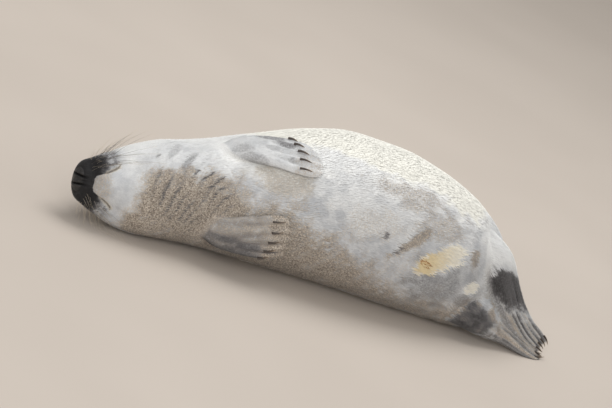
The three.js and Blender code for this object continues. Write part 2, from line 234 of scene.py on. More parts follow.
fore_shape = {
    "half_width": curve([(0, 26), (0.25, 31), (0.5, 39), (0.78, 43), (0.93, 41), (1, 37)]),
    "thickness": curve([(0, 20), (0.25, 15), (0.5, 10), (0.78, 7.5), (0.93, 5.5), (1, 2.2)]),
    "lift": curve([(0, -34), (0.16, -10), (0.32, 5), (0.6, 9), (1, 8)]),
    "fullness": 0.8,
    "digits": 0.3,
}
hind_shape = {"fullness": 0.85, "digits": 0.35, "spread": 10, "tips": 5}
limbs = {
    "left_fore": {
        **fore_shape, "root": 260, "angle": -20, "sweep": -25, "ahead": 9, "thumb": -1, "stand": 0,
    },
    "right_fore": {
        **fore_shape, "root": 230, "angle": -126, "sweep": 16, "ahead": -9, "thumb": 1, "stand": 12,
    },
    "left_hind": {
        **hind_shape,
        "half_width": curve([
            (0, 50), (0.2, 42), (0.45, 37), (0.6, 32), (0.78, 28), (0.92, 26), (1, 20),
        ]),
        "thickness": curve([
            (0, 48), (0.25, 36), (0.45, 24), (0.6, 16), (0.78, 11), (0.92, 7), (1, 2.4),
        ]),
        "tilt": 62,
        "line": spine_path([
            (858, 34, 172), (909, 45, 156), (950, 49, 121), (993, 48, 83), (1043, 47, 46),
            (1090, 43, 23),
        ]),
    },
    "right_hind": {
        **hind_shape,
        "half_width": curve([
            (0, 52), (0.25, 47), (0.45, 38), (0.6, 32), (0.78, 31), (0.92, 28), (1, 20),
        ]),
        "thickness": curve([
            (0, 50), (0.25, 41), (0.45, 27), (0.6, 17), (0.78, 11), (0.92, 7), (1, 2.4),
        ]),
        "tilt": 32,
        "line": spine_path([
            (850, 56, 68), (902, 60, 62), (952, 59, 45), (1004, 54, 31), (1050, 52, 19), (1086, 50, 10),
        ]),
    },
    "tail": {
        "half_width": curve([(0, 22), (0.4, 19), (0.75, 16), (1, 5)]),
        "thickness": curve([(0, 13), (0.4, 10), (0.75, 7), (1, 2.4)]),
        "fullness": 0.85, "digits": 0, "spread": 0, "tips": 0, "tilt": 84,
        "line": spine_path([(925, -10, 98), (972, -15, 94), (1006, -15, 86), (1038, -11, 76)]),
    },
}
for name, limb in limbs.items():
    limb["name"] = name


def fore_point(limb, t, across, out):
    """A point of a fore flipper, in the body's own coordinates: it runs back along the
    spine and across round the body, lifted from the surface, with the digits leading."""
    lead = limb["ahead"] * across - 10 * across ** 2 + 6 * ridge(across)
    s = limb["root"] + t * (FORE_LENGTH + t * t * lead)
    turned = limb["thumb"] * across * limb["half_width"](t) / top_line(s)
    angle = np.radians(limb["angle"] + limb["sweep"] * t) + turned
    stand = limb["stand"] * smooth(0.1, 0.9, t) * (0.5 - 0.5 * across)
    return body_point(s, angle, limb["lift"](t) + stand + out)


BLADE_AIM = spine(1000)[1]


def blade_axes(limb, t):
    """A blade's directions along its path, to its side, and out of its upper face."""
    small = 0.002
    along = unit(limb["line"](t + small) - limb["line"](t - small))
    tilt = np.radians(limb["tilt"])
    aim = BLADE_AIM * np.cos(tilt) - UP * np.sin(tilt)
    side = unit(aim - along * (along @ aim)[..., None])
    return along, side, np.cross(side, along)


def blade_point(limb, t, across, out):
    """A point of a blade: its path, plus across to the side, out of the face and the
    lead of its digits, which grows with the cube of t."""
    along, side, face = blade_axes(limb, t)
    lead = limb["spread"] * across ** 2 + limb["tips"] * ridge(across)
    return (
        limb["line"](t) + side * (across * limb["half_width"](t))[..., None]
        + face * np.asarray(out)[..., None] + along * (t ** 3 * lead)[..., None]
    )


def limb_point(limb, t, angle, outward=0):
    """The surface of a limb: a flattened section whose broad faces rise over the digits.
    Angle 0 is its edge on the side of the first digit, and 90 degrees its outer face."""
    t, angle = np.broadcast_arrays(np.asarray(t, float), np.asarray(angle, float))
    across = power(np.cos(angle), limb["fullness"]) * (1 + outward / limb["half_width"](t))
    digit = 1 + limb["digits"] * smooth(0.42, 0.78, t) * (ridge(across) - 0.5)
    out = power(np.sin(angle), limb["fullness"]) * (limb["thickness"](t) * digit + outward)
    return (blade_point if "line" in limb else fore_point)(limb, t, across, out)


# The frame's origin is under the middle of the whole animal; the spine starts at its nose.
EYE_AT, EYE_ASIDE, EYE_ABOVE = np.array(78.0), 35.5, 37.5


def eye_centre(side):
    """The middle of an eyeball, the left one for a side of 1 and the right one for -1."""
    return place(EYE_AT, side * EYE_ASIDE, EYE_ABOVE)


eye_corners = np.array([list(corner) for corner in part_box("left_eye")])
OFFSET = eye_corners.mean(0) / MM - eye_centre(1)
# ------------------------------------------------------------------ end of the shapes


# ------------------------------------------------------------------ meshes from arrays
def ring_faces(rows, around):
    """The quads between neighbouring rings of a grid, which turn outwards when the rings
    run the way that the body's do, and the two rings that close its ends."""
    index = np.arange(rows * around).reshape(rows, around)
    turned = np.roll(index, -1, 1)
    quads = np.stack([index[:-1], index[1:], turned[1:], turned[:-1]], -1).reshape(-1, 4)
    return quads, index[0], index[-1]


def set_attributes(mesh, attributes):
    """Puts whole arrays on the mesh's points, of three or four numbers for each."""
    for name, values in attributes.items():
        wide = np.ones((len(mesh.vertices), 4), np.float32)
        wide[:, : values.shape[1]] = values
        attribute = mesh.attributes.new(name, "FLOAT_COLOR", "POINT")
        attribute.data.foreach_set("color", wide.ravel())


def new_piece(name, points, faces, material, attributes=None):
    """A mesh object from points in the spine's millimetres and from arrays of faces, each
    array holding faces with one number of corners."""
    mesh = bpy.data.meshes.new(name)
    arrays = [np.asarray(part, np.int32) for part in faces if len(part)]
    corners = np.concatenate([part.ravel() for part in arrays])
    sizes = np.concatenate([np.full(len(part), part.shape[1], np.int32) for part in arrays])
    mesh.vertices.add(len(points))
    mesh.vertices.foreach_set("co", ((points + OFFSET) * MM).astype(np.float32).ravel())
    mesh.loops.add(len(corners))
    mesh.loops.foreach_set("vertex_index", corners)
    mesh.polygons.add(len(sizes))
    starts = np.concatenate([[0], np.cumsum(sizes)[:-1]]).astype(np.int32)
    mesh.polygons.foreach_set("loop_start", starts)
    mesh.polygons.foreach_set("use_smooth", np.full(len(sizes), True))
    mesh.update(calc_edges=True)
    set_attributes(mesh, attributes or {})
    piece = bpy.data.objects.new(name, mesh)
    bpy.context.scene.collection.objects.link(piece)
    mesh.materials.append(material)
    return piece


# ------------------------------------------------------------------ relief of the head
def near_path(at, path):
    """The least distance from each point to a line of straight pieces."""
    best = np.full(at.shape[:-1], np.inf)
    for a, b in zip(path[:-1], path[1:]):
        t = np.clip(((at - a) @ (b - a)) / ((b - a) @ (b - a)), 0, 1)
        best = np.minimum(best, np.linalg.norm(at - a - t[..., None] * (b - a), axis=-1))
    return best


def on_head(s, angle):
    """A surface point in the head's own coordinates, alike on both sides: distance from
    the nose, aside without its sign, and above."""
    aside, above = section(s, angle)
    return np.stack([s, np.abs(aside), above], -1)


# The mouth runs from the front of the chin to its corner, as [distance from the nose,
# degrees from the middle of the underside].
MOUTH = [(20.2, 0), (20.4, 16), (22.5, 33), (27, 45), (37, 53), (50, 57.5), (60, 60), (66, 64)]
mouth_path = np.array([on_head(np.array(float(s)), np.radians(d - 90)) for s, d in MOUTH])
# Nostrils and the groove under the nose lie on its blunt front, as [aside, above].
NOSTRIL = np.array([(9.4, 32.0), (9.2, 25.0), (8.2, 16.0), (7.4, 8.0), (7.2, 1.0)])
NOSE_HEIGHT, NOSE_WIDE, NOSE_TALL = 22, 23, 17
# Places in the head's own coordinates, as on_head gives them.
BROW, CHEEK, EAR = np.array([(72, 34, 62), (58, 44, 34), (134, 70, 30)], float)
# The eye: its ball, lid and opening, how much wider that is in front, how far the skin is
# drawn to it, and how it looks outwards, upwards and forwards.
EYEBALL, LID = 19.5, 1.3
EYE_LONG, EYE_TALL, EYE_CORNER = 13.5, 11.0, 0.1
EYE_NEAR = 45
OUTWARDS, UPWARDS, FORWARDS = 0.74, 0.56, 0.36

# Whiskers grow in rows on the upper lip, as (row, place in the row).
ROWS, PLACES = np.meshgrid(np.arange(6), np.arange(7), indexing="ij")
whisker_s = (17 + PLACES * 6.6 + 1.5 * (ROWS % 2)).ravel()
whisker_degrees = 68 + ROWS.ravel() * 9.5 - 20 * np.exp((16 - whisker_s) / 9) - 90
whisker_roots = on_head(whisker_s, np.radians(whisker_degrees))


def nose_patch(s, angle):
    """1 on the bare leather round the nostrils and 0 off it: an oval on the blunt front."""
    aside, above = section(s, angle)
    reach = np.hypot(aside / NOSE_WIDE, (above - NOSE_HEIGHT) / NOSE_TALL)
    return smooth(1.08, 0.92, reach) * smooth(17, 13, s)


def coat_depth(s):
    """How far the skin lies under the coat's tips: more from the nose to the hips."""
    return np.interp(s, [0, 12, 45, 110, 220, 880, 950], [0.2, 0.6, 0.9, 1.6, 2.8, 3.4, 2.2])


# How far from the nose the head's relief, the whisker pads and the mouth's marks reach.
RELIEF_END, PAD_END, MOUTH_END = 160, 75, 110


def head_relief(s, angle):
    """Height over the plain head: a sum of grooves and humps at distances from the mouth,
    nostrils, lip groove, whisker roots, brow, cheek and ear."""
    at = on_head(s, angle)
    aside, above = at[..., 1], at[..., 2]
    mouth = near_path(at, mouth_path)
    open_front = smooth(16, 20, s)
    height = -3.2 * hump(mouth, 1.5) * open_front - 0.9 * hump(mouth, 4.5) * open_front
    height = height + 1.0 * hump(mouth - 5.5, 3.0) * open_front * (above > mouth_path[0, 2] - 2)
    front = smooth(18, 14, s)
    slit = near_path(np.stack([aside, above], -1), NOSTRIL)
    height = height - 4.2 * hump(slit, 1.5) * front + 1.0 * hump(slit - 4.0, 2.0) * front
    groove = smooth(-9, -4, above) * smooth(19, 13, above) * smooth(26, 20, s)
    height = height - 1.0 * hump(aside, 1.3) * groove
    rim = np.hypot(aside / NOSE_WIDE, (above - NOSE_HEIGHT) / NOSE_TALL)
    height = height - 0.8 * hump(rim - 1.04, 0.06) * front
    pad = hump(s - 34, 20) * hump(above - 4, 17) * smooth(6, 20, aside)
    height = height + 1.6 * pad
    near = np.min(np.linalg.norm(at[..., None, :] - whisker_roots, axis=-1), axis=-1)
    height = height + pad * (0.75 * hump(near, 1.7) - 0.9 * hump(near, 0.7))
    height = height + 1.6 * hump(np.linalg.norm(at - BROW, axis=-1), 13)
    height = height - 1.2 * hump(np.linalg.norm(at - CHEEK, axis=-1), 9)
    ear = np.linalg.norm((at - EAR) / [1.5, 1, 1], axis=-1)
    height = height - 5 * hump(ear, 2.4) + 1.1 * hump(ear - 5.2, 2.2)
    chin = smooth(26, 30, s) * smooth(50, 38, s) * smooth(0.35, 0.75, -np.sin(angle))
    return height + 0.5 * chin * np.sin(s * 1.05 + 1.3 * np.sin(angle * 7))


# Millimetres between furrows and between wrinkles, and their depths.
FURROW_PITCH, WRINKLE_PITCH = 23, 9.5
FURROW_DEPTH, WRINKLE_DEPTH = 3.4, 0.9


def crease(phase):
    """1 along the whole numbers of a phase, falling steeply to 0 beside them."""
    return hump(np.abs(phase - np.round(phase)) * 2, 0.24)


def furrows(s, angle):
    """Where the throat's skin is drawn into deep furrows and fine wrinkles, as two numbers
    from 0 to 1: both slant more the further back they lie, bend by slow waves, come and go
    along their length, and fade out at the ends and sides of the throat."""
    turned = (angle + 1.45 * np.pi) % (2 * np.pi) - np.pi
    across = np.degrees(turned) - 5
    window = smooth(86, 140, s) * smooth(312, 236, s) * smooth(60, 34, np.abs(across))
    slanted = s - np.interp(s, [120, 235], [0.3, 1.35]) * across
    bend = 4 * np.sin(turned * 3.1 + s / 29) + 2.5 * np.sin(turned * 8.3 + s / 17)
    come = 0.7 + 0.3 * np.sin(turned * 5 + s / 19 + 1)
    deep = crease((slanted + bend) / FURROW_PITCH) * come
    wrinkles = crease((slanted + 1.6 * bend) / WRINKLE_PITCH) * (0.5 + 0.5 * np.sin(turned * 9 - s / 13))
    return window * deep, window * wrinkles


NAVEL_AT, NAVEL_ANGLE = 723, -101
# The fold of the groin, as distances along the spine and round the body there.
GROIN_ROUND = 1.9
GROIN = np.array([(846.0, -150.0), (855.0, -126.0), (880.0, -109.0), (912.0, -100.0)]) * [1, GROIN_ROUND]


def body_relief(s, angle):
    """Height over the plain trunk: throat furrows, soft rolls of blubber, the navel, and
    a fold of the groin over the root of the right hind flipper."""
    deep, wrinkles = furrows(s, angle)
    height = -FURROW_DEPTH * deep - WRINKLE_DEPTH * wrinkles
    slow = np.sin(s / 61 + 2 * np.sin(angle + 0.5)) * np.sin(angle * 2 + s / 143)
    height = height + 0.9 * slow * smooth(190, 330, s) * smooth(960, 860, s)
    navel = np.hypot((s - NAVEL_AT) / 8, (np.degrees(angle) - NAVEL_ANGLE) / 3)
    height = height - 2.2 * hump(navel, 1) + 0.8 * hump(navel - 1.9, 0.7)
    fold = near_path(np.stack([s, GROIN_ROUND * np.degrees(angle)], -1), GROIN)
    return height + 2.6 * hump(fold, 8)


def relief(s, angle):
    """The whole relief of skin over the plain body, with the head's own where it has any."""
    s, angle = np.broadcast_arrays(np.asarray(s, float), np.asarray(angle, float))
    height = body_relief(s, angle)
    head = s < RELIEF_END
    if head.any():
        height[head] += head_relief(s[head], angle[head])
    return height


def body_normal(s, angle):
    """The unit normal: the cross product of short steps along and round the surface."""
    small = 0.4
    ahead, behind = np.maximum(s - small, 0), np.minimum(s + small, SPINE_END)
    along = body_point(behind, angle) - body_point(ahead, angle)
    turned = small / 60
    around = body_point(s, angle + turned) - body_point(s, angle - turned)
    return unit(np.cross(along, around))


# The least heights of skin, fur, claws and whiskers over the floor.
FLOOR_SKIN, FLOOR_FUR, FLOOR_CLAW, FLOOR_WHISKER = 1.4, 0.25, 0.4, 2.0


def round_eyes(at, s):
    """Draws the skin near each eye onto a lid over the eyeball, and inside its almond
    opening under the eyeball: a blend by distance from the eye's middle."""
    for side in (1, -1):
        near = np.abs(s - EYE_AT) < EYE_NEAR
        centre = eye_centre(side)
        ahead, aside, out = eye_axes(side)
        away = at[near] - centre
        x, y, z = away @ ahead, away @ aside, away @ out
        length = np.linalg.norm(away, axis=-1)
        reach = np.hypot(x, y)
        facing = smooth(0.1, 0.35, z / length)
        opening = np.hypot(x / (EYE_LONG * (1 + EYE_CORNER * (x > 0))), y / EYE_TALL)
        lid = EYEBALL + LID + 1.0 * hump(opening - 1.28, 0.16) - 0.9 * hump(opening - 1.62, 0.16)
        inside = smooth(1.06, 0.94, opening)
        lid = lid * (1 - inside) + (EYEBALL - 3.5) * inside
        blend = smooth(29, 19, reach) * facing
        drawn = length * (1 - blend) + np.maximum(lid, np.where(inside > 0, 0, length - 3)) * blend
        at[near] = centre + away * (drawn / length)[..., None]
    return at


def eye_axes(side):
    """An eye's directions: forwards along the lids, up across them, and out of the head.
    It looks outwards, upwards and a little forwards."""
    _, belly_side, left, back = spine(EYE_AT)
    forward = np.cross(belly_side, UP)
    out = unit(left * side * OUTWARDS + back * UPWARDS + forward * FORWARDS)
    ahead = unit(forward - out * (forward @ out))
    return ahead, np.cross(out, ahead) * side, out


def skin_point(s, angle, lift=0.0):
    """The skin and its plain normal: the solids' surface moved along its normal by the
    relief less the coat's depth, with the lids drawn over the eyes, plus any lift. The
    underside is flat."""
    s, angle = np.broadcast_arrays(np.asarray(s, float), np.asarray(angle, float))
    normal = body_normal(s, angle)
    height = relief(s, angle) - coat_depth(s)
    at = round_eyes(body_point(s, angle) + normal * height[..., None], s)
    at = at + normal * np.asarray(lift)[..., None]
    at[..., 2] = np.maximum(at[..., 2], FLOOR_SKIN)
    return at, normal


# ------------------------------------------------------------------ skin of the limbs
def limb_depth(limb, t):
    """How far a limb's skin lies under its coat: most at the root, least where it is thin."""
    return np.minimum(1.1, 0.14 * limb["thickness"](t)) + 1.6 * smooth(0.3, 0.1, t)


def limb_skin(limb, t, angle, lift=0.0):
    """The skin of a limb: its solid's surface less the coat, grooved between the digits,
    with a hump over each knuckle and fine creases across."""
    t, angle = np.broadcast_arrays(np.asarray(t, float), np.asarray(angle, float))
    across = power(np.cos(angle), limb["fullness"])
    broad = np.abs(np.sin(angle)) ** 0.6
    groove = (1 - ridge(across)) ** 2 * smooth(0.36, 0.62, t) * (limb["digits"] > 0)
    height = -0.2 * limb["thickness"](t) * groove * broad
    knuckles = hump(t - 0.6 + 0.06 * across ** 2, 0.035) + hump(t - 0.79 + 0.05 * across ** 2, 0.03)
    height = height + 0.07 * limb["thickness"](t) * knuckles * ridge(across) * broad
    height = height + 0.16 * np.sin(t * 190 + 3 * across) * smooth(0.3, 0.5, t) * broad
    at = limb_point(limb, t, angle, height - limb_depth(limb, t) + lift)
    at[..., 2] = np.maximum(at[..., 2], FLOOR_SKIN)
    return at


def closed_grid(at):
    """Points and faces of rings of points, each end closed by strips across its ring."""
    rows, around = at.shape[:2]
    quads, first, last = ring_faces(rows, around)
    i = np.arange(around // 2 - 1)
    strip = np.stack([i, i + 1, around - 2 - i, around - 1 - i], -1)
    return at.reshape(-1, 3), [quads, first[strip], last[strip][:, ::-1]]


def rings(rows, around):
    """Each row's value and each ring's angles, half a step off zero, as a grid."""
    angles = (np.arange(around) + 0.5) / around * 2 * np.pi
    return np.meshgrid(np.asarray(rows, float), angles, indexing="ij")


def rounded_end(radius, count):
    """Distances from a rounded end, close together where the end is blunt."""
    rim = np.linspace(0.02, 1, count)
    return radius * (1 - np.sqrt(1 - rim ** 2))


BODY_AROUND, LIMB_AROUND = 256, 72
BODY_ROWS = np.concatenate([
    rounded_end(NOSE_ROUND, 30), np.arange(16.2, 96, 1.25), np.arange(97.5, 190, 2.6),
    np.arange(193, SPINE_END - RUMP_ROUND, 5.8), SPINE_END - rounded_end(RUMP_ROUND, 14)[::-1],
])
LIMB_ROWS = np.concatenate([np.linspace(0, 0.9, 52), np.linspace(0.912, 1, 12)])


# Where the limbs' streaks start, clear of the body's.
LIMB_LIE = 2000


def lie_of(along, radius, angle):
    """Coordinates for streaks that follow the coat: round the body at full scale and along
    it at a seventh, so that a noise over them is drawn out along the hair."""
    return np.stack([radius * np.cos(angle), radius * np.sin(angle), along / 7], -1) * MM


def skin_parts():
    """The body and each limb as closed pieces, with markings and lie at each point."""
    s, angle = rings(BODY_ROWS, BODY_AROUND)
    at, _ = skin_point(s, angle)
    yield "skin", at, body_markings(s, angle), lie_of(s, 100, angle)
    for limb in limbs.values():
        t, angle = rings(LIMB_ROWS[::2] if limb["name"] == "tail" else LIMB_ROWS, LIMB_AROUND)
        at = limb_skin(limb, t, angle)
        if limb.get("thumb", -1) > 0:
            at, t, angle = at[:, ::-1], t[:, ::-1], angle[:, ::-1]
        lie = lie_of(t * FORE_LENGTH + LIMB_LIE, limb["half_width"](t), angle)
        yield limb["name"], at, limb_markings(limb, t, angle), lie


def join_skin(material):
    """The body and limbs united into one closed skin, whose creases at the roots of the
    limbs are then relaxed: points near a new edge move to the middle of their neighbours."""
    parts = []
    for name, at, marks, lie in skin_parts():
        points, faces = closed_grid(at)
        lie = np.insert(lie.reshape(-1, 3), 3, OWN, axis=1)
        attributes = {"marks": marks.reshape(-1, 4), "lie": lie}
        parts.append(new_piece(name, points, faces, material, attributes))
    skin = parts[0]
    for limb in parts[1:]:
        union = skin.modifiers.new(limb.name, "BOOLEAN")
        union.operation, union.solver, union.object = "UNION", "MANIFOLD", limb
    united = bpy.data.meshes.new_from_object(skin.evaluated_get(bpy.context.evaluated_depsgraph_get()))
    for limb in parts[1:]:
        bpy.data.objects.remove(limb)
    skin.modifiers.clear()
    skin.data = united
    relax_creases(united)
    return skin


def read(mesh, name, wide):
    """An attribute of the mesh's points, or their places, as an array."""
    values = np.zeros(len(mesh.vertices) * wide, np.float32)
    if name == "co":
        mesh.vertices.foreach_get("co", values)
    else:
        mesh.attributes[name].data.foreach_get("color", values)
    return values.reshape(-1, wide)


RELAX_ROUNDS, NEAR_ROUNDS = 60, 11
# The fourth number of lie on points that the union keeps, and the metres along the frame
# beyond which the hind flippers' digits keep their creases.
OWN, DIGITS_FROM = 0.5, 0.46


def relax_creases(mesh):
    """New points of the union lack the fourth number of lie: they take their neighbours'
    mean, and so, in part, do the places and markings of all points within a few edges."""
    edges = np.zeros(len(mesh.edges) * 2, np.int32)
    mesh.edges.foreach_get("vertices", edges)
    a, b = edges.reshape(-1, 2).T
    count = len(mesh.vertices)
    degree = np.maximum(np.bincount(a, minlength=count) + np.bincount(b, minlength=count), 1)

    def mean(values):
        total = [np.bincount(a, v[b], count) + np.bincount(b, v[a], count) for v in values.T]
        return np.stack(total, -1) / degree[:, None]

    at, lie, marks = read(mesh, "co", 3), read(mesh, "lie", 4), read(mesh, "marks", 4)
    new = np.abs(lie[:, 3] - OWN) > 0.1
    close = (new & (at[:, 0] < DIGITS_FROM)).astype(float)[:, None]
    for _ in range(NEAR_ROUNDS):
        close = np.maximum(close, np.minimum(1, mean(close) * 1.6) * 0.93)
    for _ in range(RELAX_ROUNDS):
        at = at + (mean(at) - at) * close * 0.8
        lie[new] = mean(lie)[new]
        marks[new] = mean(marks)[new]
        marks = marks + (mean(marks) - marks) * close * 0.6
    at[:, 2] = np.maximum(at[:, 2], FLOOR_SKIN * MM)
    mesh.vertices.foreach_set("co", at.astype(np.float32).ravel())
    for name, values in (("lie", lie), ("marks", marks)):
        mesh.attributes[name].data.foreach_set("color", values.astype(np.float32).ravel())
    mesh.polygons.foreach_set("use_smooth", np.full(len(mesh.polygons), True))
    mesh.update()


# ------------------------------------------------------------------ markings
def lumps(at, size, seed=0):
    """Smooth noise from 0 to 1: random values at the corners of cubes of a size, joined by
    smooth steps. A corner's value is the fraction of a large sine of its three numbers."""
    cell = np.floor(at / size)
    part = at / size - cell
    part = part * part * (3 - 2 * part)
    total = 0
    for corner in np.ndindex(2, 2, 2):
        mixed = (cell + corner) @ np.array([12.9898, 78.233, 37.719]) + seed * 4.1414
        value = np.abs(np.sin(mixed) * 43758.5453) % 1
        weight = np.prod(np.where(np.array(corner) == 1, part, 1 - part), -1)
        total = total + value * weight
    return total


def oval(s, degrees, middle, size, slant=0.0):
    """1 at the middle of a patch of coat and 0 outside it: the middle and size are along
    the spine and, in degrees, round the body. A slant adds degrees for each millimetre."""
    round_body = (degrees - middle[1] - slant * (s - middle[0]) + 180) % 360 - 180
    return np.hypot((s - middle[0]) / size[0], round_body / size[1])


SAND_EDGE = curve([
    (66, -86), (77, -72), (93, -64), (120, -60), (138, -57), (167, -55), (207, -55), (243, -61),
    (272, -68), (300, -78), (400, -86), (452, -94), (586, -116), (732, -127), (824, -120),
    (900, -108),
])
SAND_AMOUNT = curve([
    (66, 0.5), (110, 0.95), (260, 0.95), (320, 0.75), (420, 0.85), (560, 0.85), (650, 0.7),
    (800, 0.65), (860, 0.7),
])
LANUGO_EDGE = curve([
    (330, -12), (400, -22), (476, -32), (514, -38), (583, -45), (663, -45), (747, -48), (794, -52),
    (856, -50), (900, -30),
])


# Pale patches, dustings of sand and dark patches, some of them painted shade, as (middle,
# size, amount, slant), with the middle along the spine and in degrees round the body.
PALE_PATCHES = [
    ((84, -92), (32, 70), 0.5, 0), ((540, -76), (84, 22), 0.62, -0.05), ((636, -80), (52, 14), 0.5, 0.1),
]
DUSTINGS = [
    ((372, -64), (84, 15), 0.36, -0.06), ((640, -60), (110, 13), 0.42, 0), ((742, -74), (70, 14), 0.42, 0.1),
    ((686, -88), (52, 6), 0.72, 0.37), ((560, -92), (90, 16), 0.3, 0.1), ((836, -82), (15, 9), 0.66, 0),
    ((340, -88), (70, 16), 0.36, 0), ((690, -112), (90, 18), 0.26, 0.1), ((872, -122), (26, 12), 0.7, 0.3),
]
# Of the dark patches, the long ones across the neck at 102, 150 and 190 from the nose are painted shade of
# its folds, and the one at (302, -34) is painted shade under the left fore flipper's root.
DARK_PATCHES_AND_SHADE = [
    ((127, -35), (7, 5), 0.36, 0.4), ((150, -36), (34, 9), 0.28, 0.6), ((102, -42), (26, 14), 0.22, 0.5),
    ((190, -42), (36, 9), 0.32, 0.5), ((612, -92), (7, 3), 0.42, 0), ((652, -100), (11, 3), 0.4, 0.4),
    ((302, -34), (34, 9), 0.3, -0.16), ((775, -116), (120, 26), 0.34, 0.05),
    ((836, -92), (36, 14), 0.26, 0.1), ((880, -110), (30, 18), 0.3, 0), ((851, -36), (8, 5), 0.4, 0.3),
    ((900, -60), (22, 30), 0.12, 0), ((240, 20), (16, 6), 0.18, 0.1), ((740, -88), (50, 7), 0.16, 0.35),
]
YELLOWED = [((370, -60), (80, 16), 0.14, -0.08)]


def with_patches(marks, patches, s, degrees, rough):
    """Marks raised to the amount of each patch that has a place in it, with a soft edge
    that a noise makes rough."""
    for middle, size, amount, slant in patches:
        inside = smooth(1.2, 0.45, oval(s, degrees, middle, size, slant) + rough)
        marks = np.maximum(marks, amount * inside)
    return marks


def body_markings(s, angle):
    """How pale, sandy, yellow and dark the coat is at each place, each from 0 to 1: soft
    edges along curves on the body, broken by noise, and ovals for patches and spots. Dark
    also holds painted shade in furrows and folds, under a flipper and low down. The upper
    half of pale is woolly cream coat, and the upper half of yellow is rust."""
    at = body_point(s, angle)
    degrees = (np.degrees(angle) + 180) % 360 - 180
    ragged = lumps(at, 26, 1) - 0.5 + 0.6 * (lumps(at, 11, 2) - 0.5)
    fine = lumps(at, 5, 3) - 0.5
    back = smooth(38, 80, degrees) * smooth(165, 120, degrees)
    wool, patches = cream_marks(at, s, degrees, ragged, fine)
    cream = np.maximum(wool, patches)
    sand = sand_marks(s, degrees, ragged, fine)
    dark, chin = head_marks(s, angle, degrees, ragged, fine)
    sand = np.maximum(sand, 0.5 * chin)
    # Dark: back of head, painted shade in furrows and by the floor, neck, groin and hip patches, old spots.
    dark = np.maximum(dark, 0.24 * back * smooth(50, 110, s) * smooth(420, 330, s + 60 * ragged))
    deep, wrinkles = furrows(s, angle)
    # Painted shade in the throat's furrows and wrinkles, more where sand clings.
    dark = np.maximum(dark, (0.62 * deep + 0.26 * wrinkles) * (0.2 + 0.8 * smooth(0.15, 0.45, sand)))
    dark = with_patches(dark, DARK_PATCHES_AND_SHADE, s, degrees, 0.7 * ragged)
    # Darker low down by the floor: painted shade under the belly, with wet sand there too.
    dark = np.maximum(dark, 0.26 * smooth(-150, -176, degrees) * smooth(120, 240, s))
    old = lumps(at, 34, 7) * lumps(at, 15, 8)
    dark = np.maximum(dark, 0.35 * smooth(0.5, 0.62, old) * back * (1 - wool))
    # Yellow: the two tufts, the navel, and the edge of the lip, which is brown and sandy too.
    lip = hump(mouth_distance(s, angle), 3.4) * smooth(26, 36, s) * smooth(68, 62, s)
    dark = np.maximum(dark * (1 - 0.45 * lip), 0.42 * lip)
    sand = np.maximum(sand, 0.4 * lip)
    navel = oval(s, degrees, (NAVEL_AT, NAVEL_ANGLE), (9, 3.4))
    yellow = 0.5 * patches * (0.3 + 0.62 * smooth(790, 715, s))
    yellow = np.maximum(yellow, 0.8 * smooth(1.5, 0.5, navel + 0.6 * fine))
    yellow = with_patches(np.maximum(yellow, 0.32 * lip), YELLOWED, s, degrees, ragged)
    pale = 0.5 * np.clip(pale_marks(s, degrees, ragged), 0, 1) * (1 - cream) + cream
    marks = [pale, sand * (1 - 0.92 * cream), yellow, dark * (1 - cream)]
    return np.clip(np.stack(marks, -1), 0, 1)


def cream_marks(at, s, degrees, ragged, fine):
    """Where woolly cream coat is left over the back and flanks, and in two tufts."""
    wool = smooth(-9, 7, degrees + 14 * ragged + 6 * fine - LANUGO_EDGE(s))
    wool = wool * smooth(198, 176, np.abs(degrees + 15))
    under_flank = smooth(-9, 7, -172 - degrees + 10 * ragged)
    broad = lumps(at, 55, 6) - 0.5
    wool = np.maximum(wool, under_flank) * smooth(330, 425, s + 60 * ragged + 110 * broad)
    wool = wool * smooth(890, 836, s + 0.25 * np.maximum(degrees, 0) + 60 * ragged + 70 * broad)
    large = oval(s, degrees, (759, -94), (57, 10.5), 0.25) + 0.4 * ragged + 0.4 * fine
    small = oval(s, degrees, (858, -104), (20, 6.5), 0.2) + 0.4 * fine
    return wool, np.maximum(smooth(1.12, 0.82, large), 0.8 * smooth(1.15, 0.8, small))


def pale_marks(s, degrees, ragged):
    """Where the silver coat is palest: the upper side, the cheek and parts of the belly."""
    pale = smooth(-84, -40, degrees + 22 * ragged) * smooth(100, 60, degrees) * (0.9 + 0.4 * ragged)
    pale = pale * (1 - 0.5 * smooth(300, 200, s) * smooth(60, 120, s) * smooth(20, -30, degrees))
    for patch, rough in zip(PALE_PATCHES, (0.3, 1.1, 0.9)):
        pale = with_patches(pale, [patch], s, degrees, rough * ragged)
    return pale * smooth(52, 90, s) * (1 - 0.6 * smooth(845, 900, s))


def sand_marks(s, degrees, ragged, fine):
    """Where sand clings: low down, to the throat, and in streaks and a haze on the belly."""
    sand = smooth(20, -24, degrees + 30 * ragged + 18 * fine - SAND_EDGE(s)) * smooth(-179, -168, degrees)
    clumps = lumps(np.stack([s - 1.1 * degrees, 0.45 * degrees, 0 * s], -1), 7, 5)
    sand = sand * smooth(58, 112, s + 20 * ragged + 10 * fine) * smooth(930, 860, s) * SAND_AMOUNT(s)
    sand = sand * (0.74 + 0.5 * clumps + 0.5 * ragged)
    return with_patches(sand, DUSTINGS, s, degrees, 0.9 * ragged + 0.5 * fine)


def head_marks(s, angle, degrees, ragged, fine):
    """How dark the muzzle, its follicles and the chin are, and where the chin is."""
    from_middle = np.abs((degrees + 270) % 360 - 180)
    upper_lip = smooth(-4, 3, from_middle - np.interp(s, *np.array(MOUTH, float).T))
    upper_lip = np.where(s < 20, 1, upper_lip)
    muzzle = smooth(90, 56, s + 16 * ragged + 8 * fine)
    dark = 0.32 + 0.58 * smooth(48, 24, s + 8 * ragged) + 0.3 * fine + 0.16 * ragged
    dark = np.maximum(upper_lip * muzzle * dark, 0.9 * hump(root_distance(s, angle), 2.3))
    chin = (1 - upper_lip) * smooth(60, 26, s + 8 * ragged)
    return np.maximum(dark, 0.2 * chin), chin


# Stands for any distance beyond the reach of what it is measured to.
FAR = 99.0


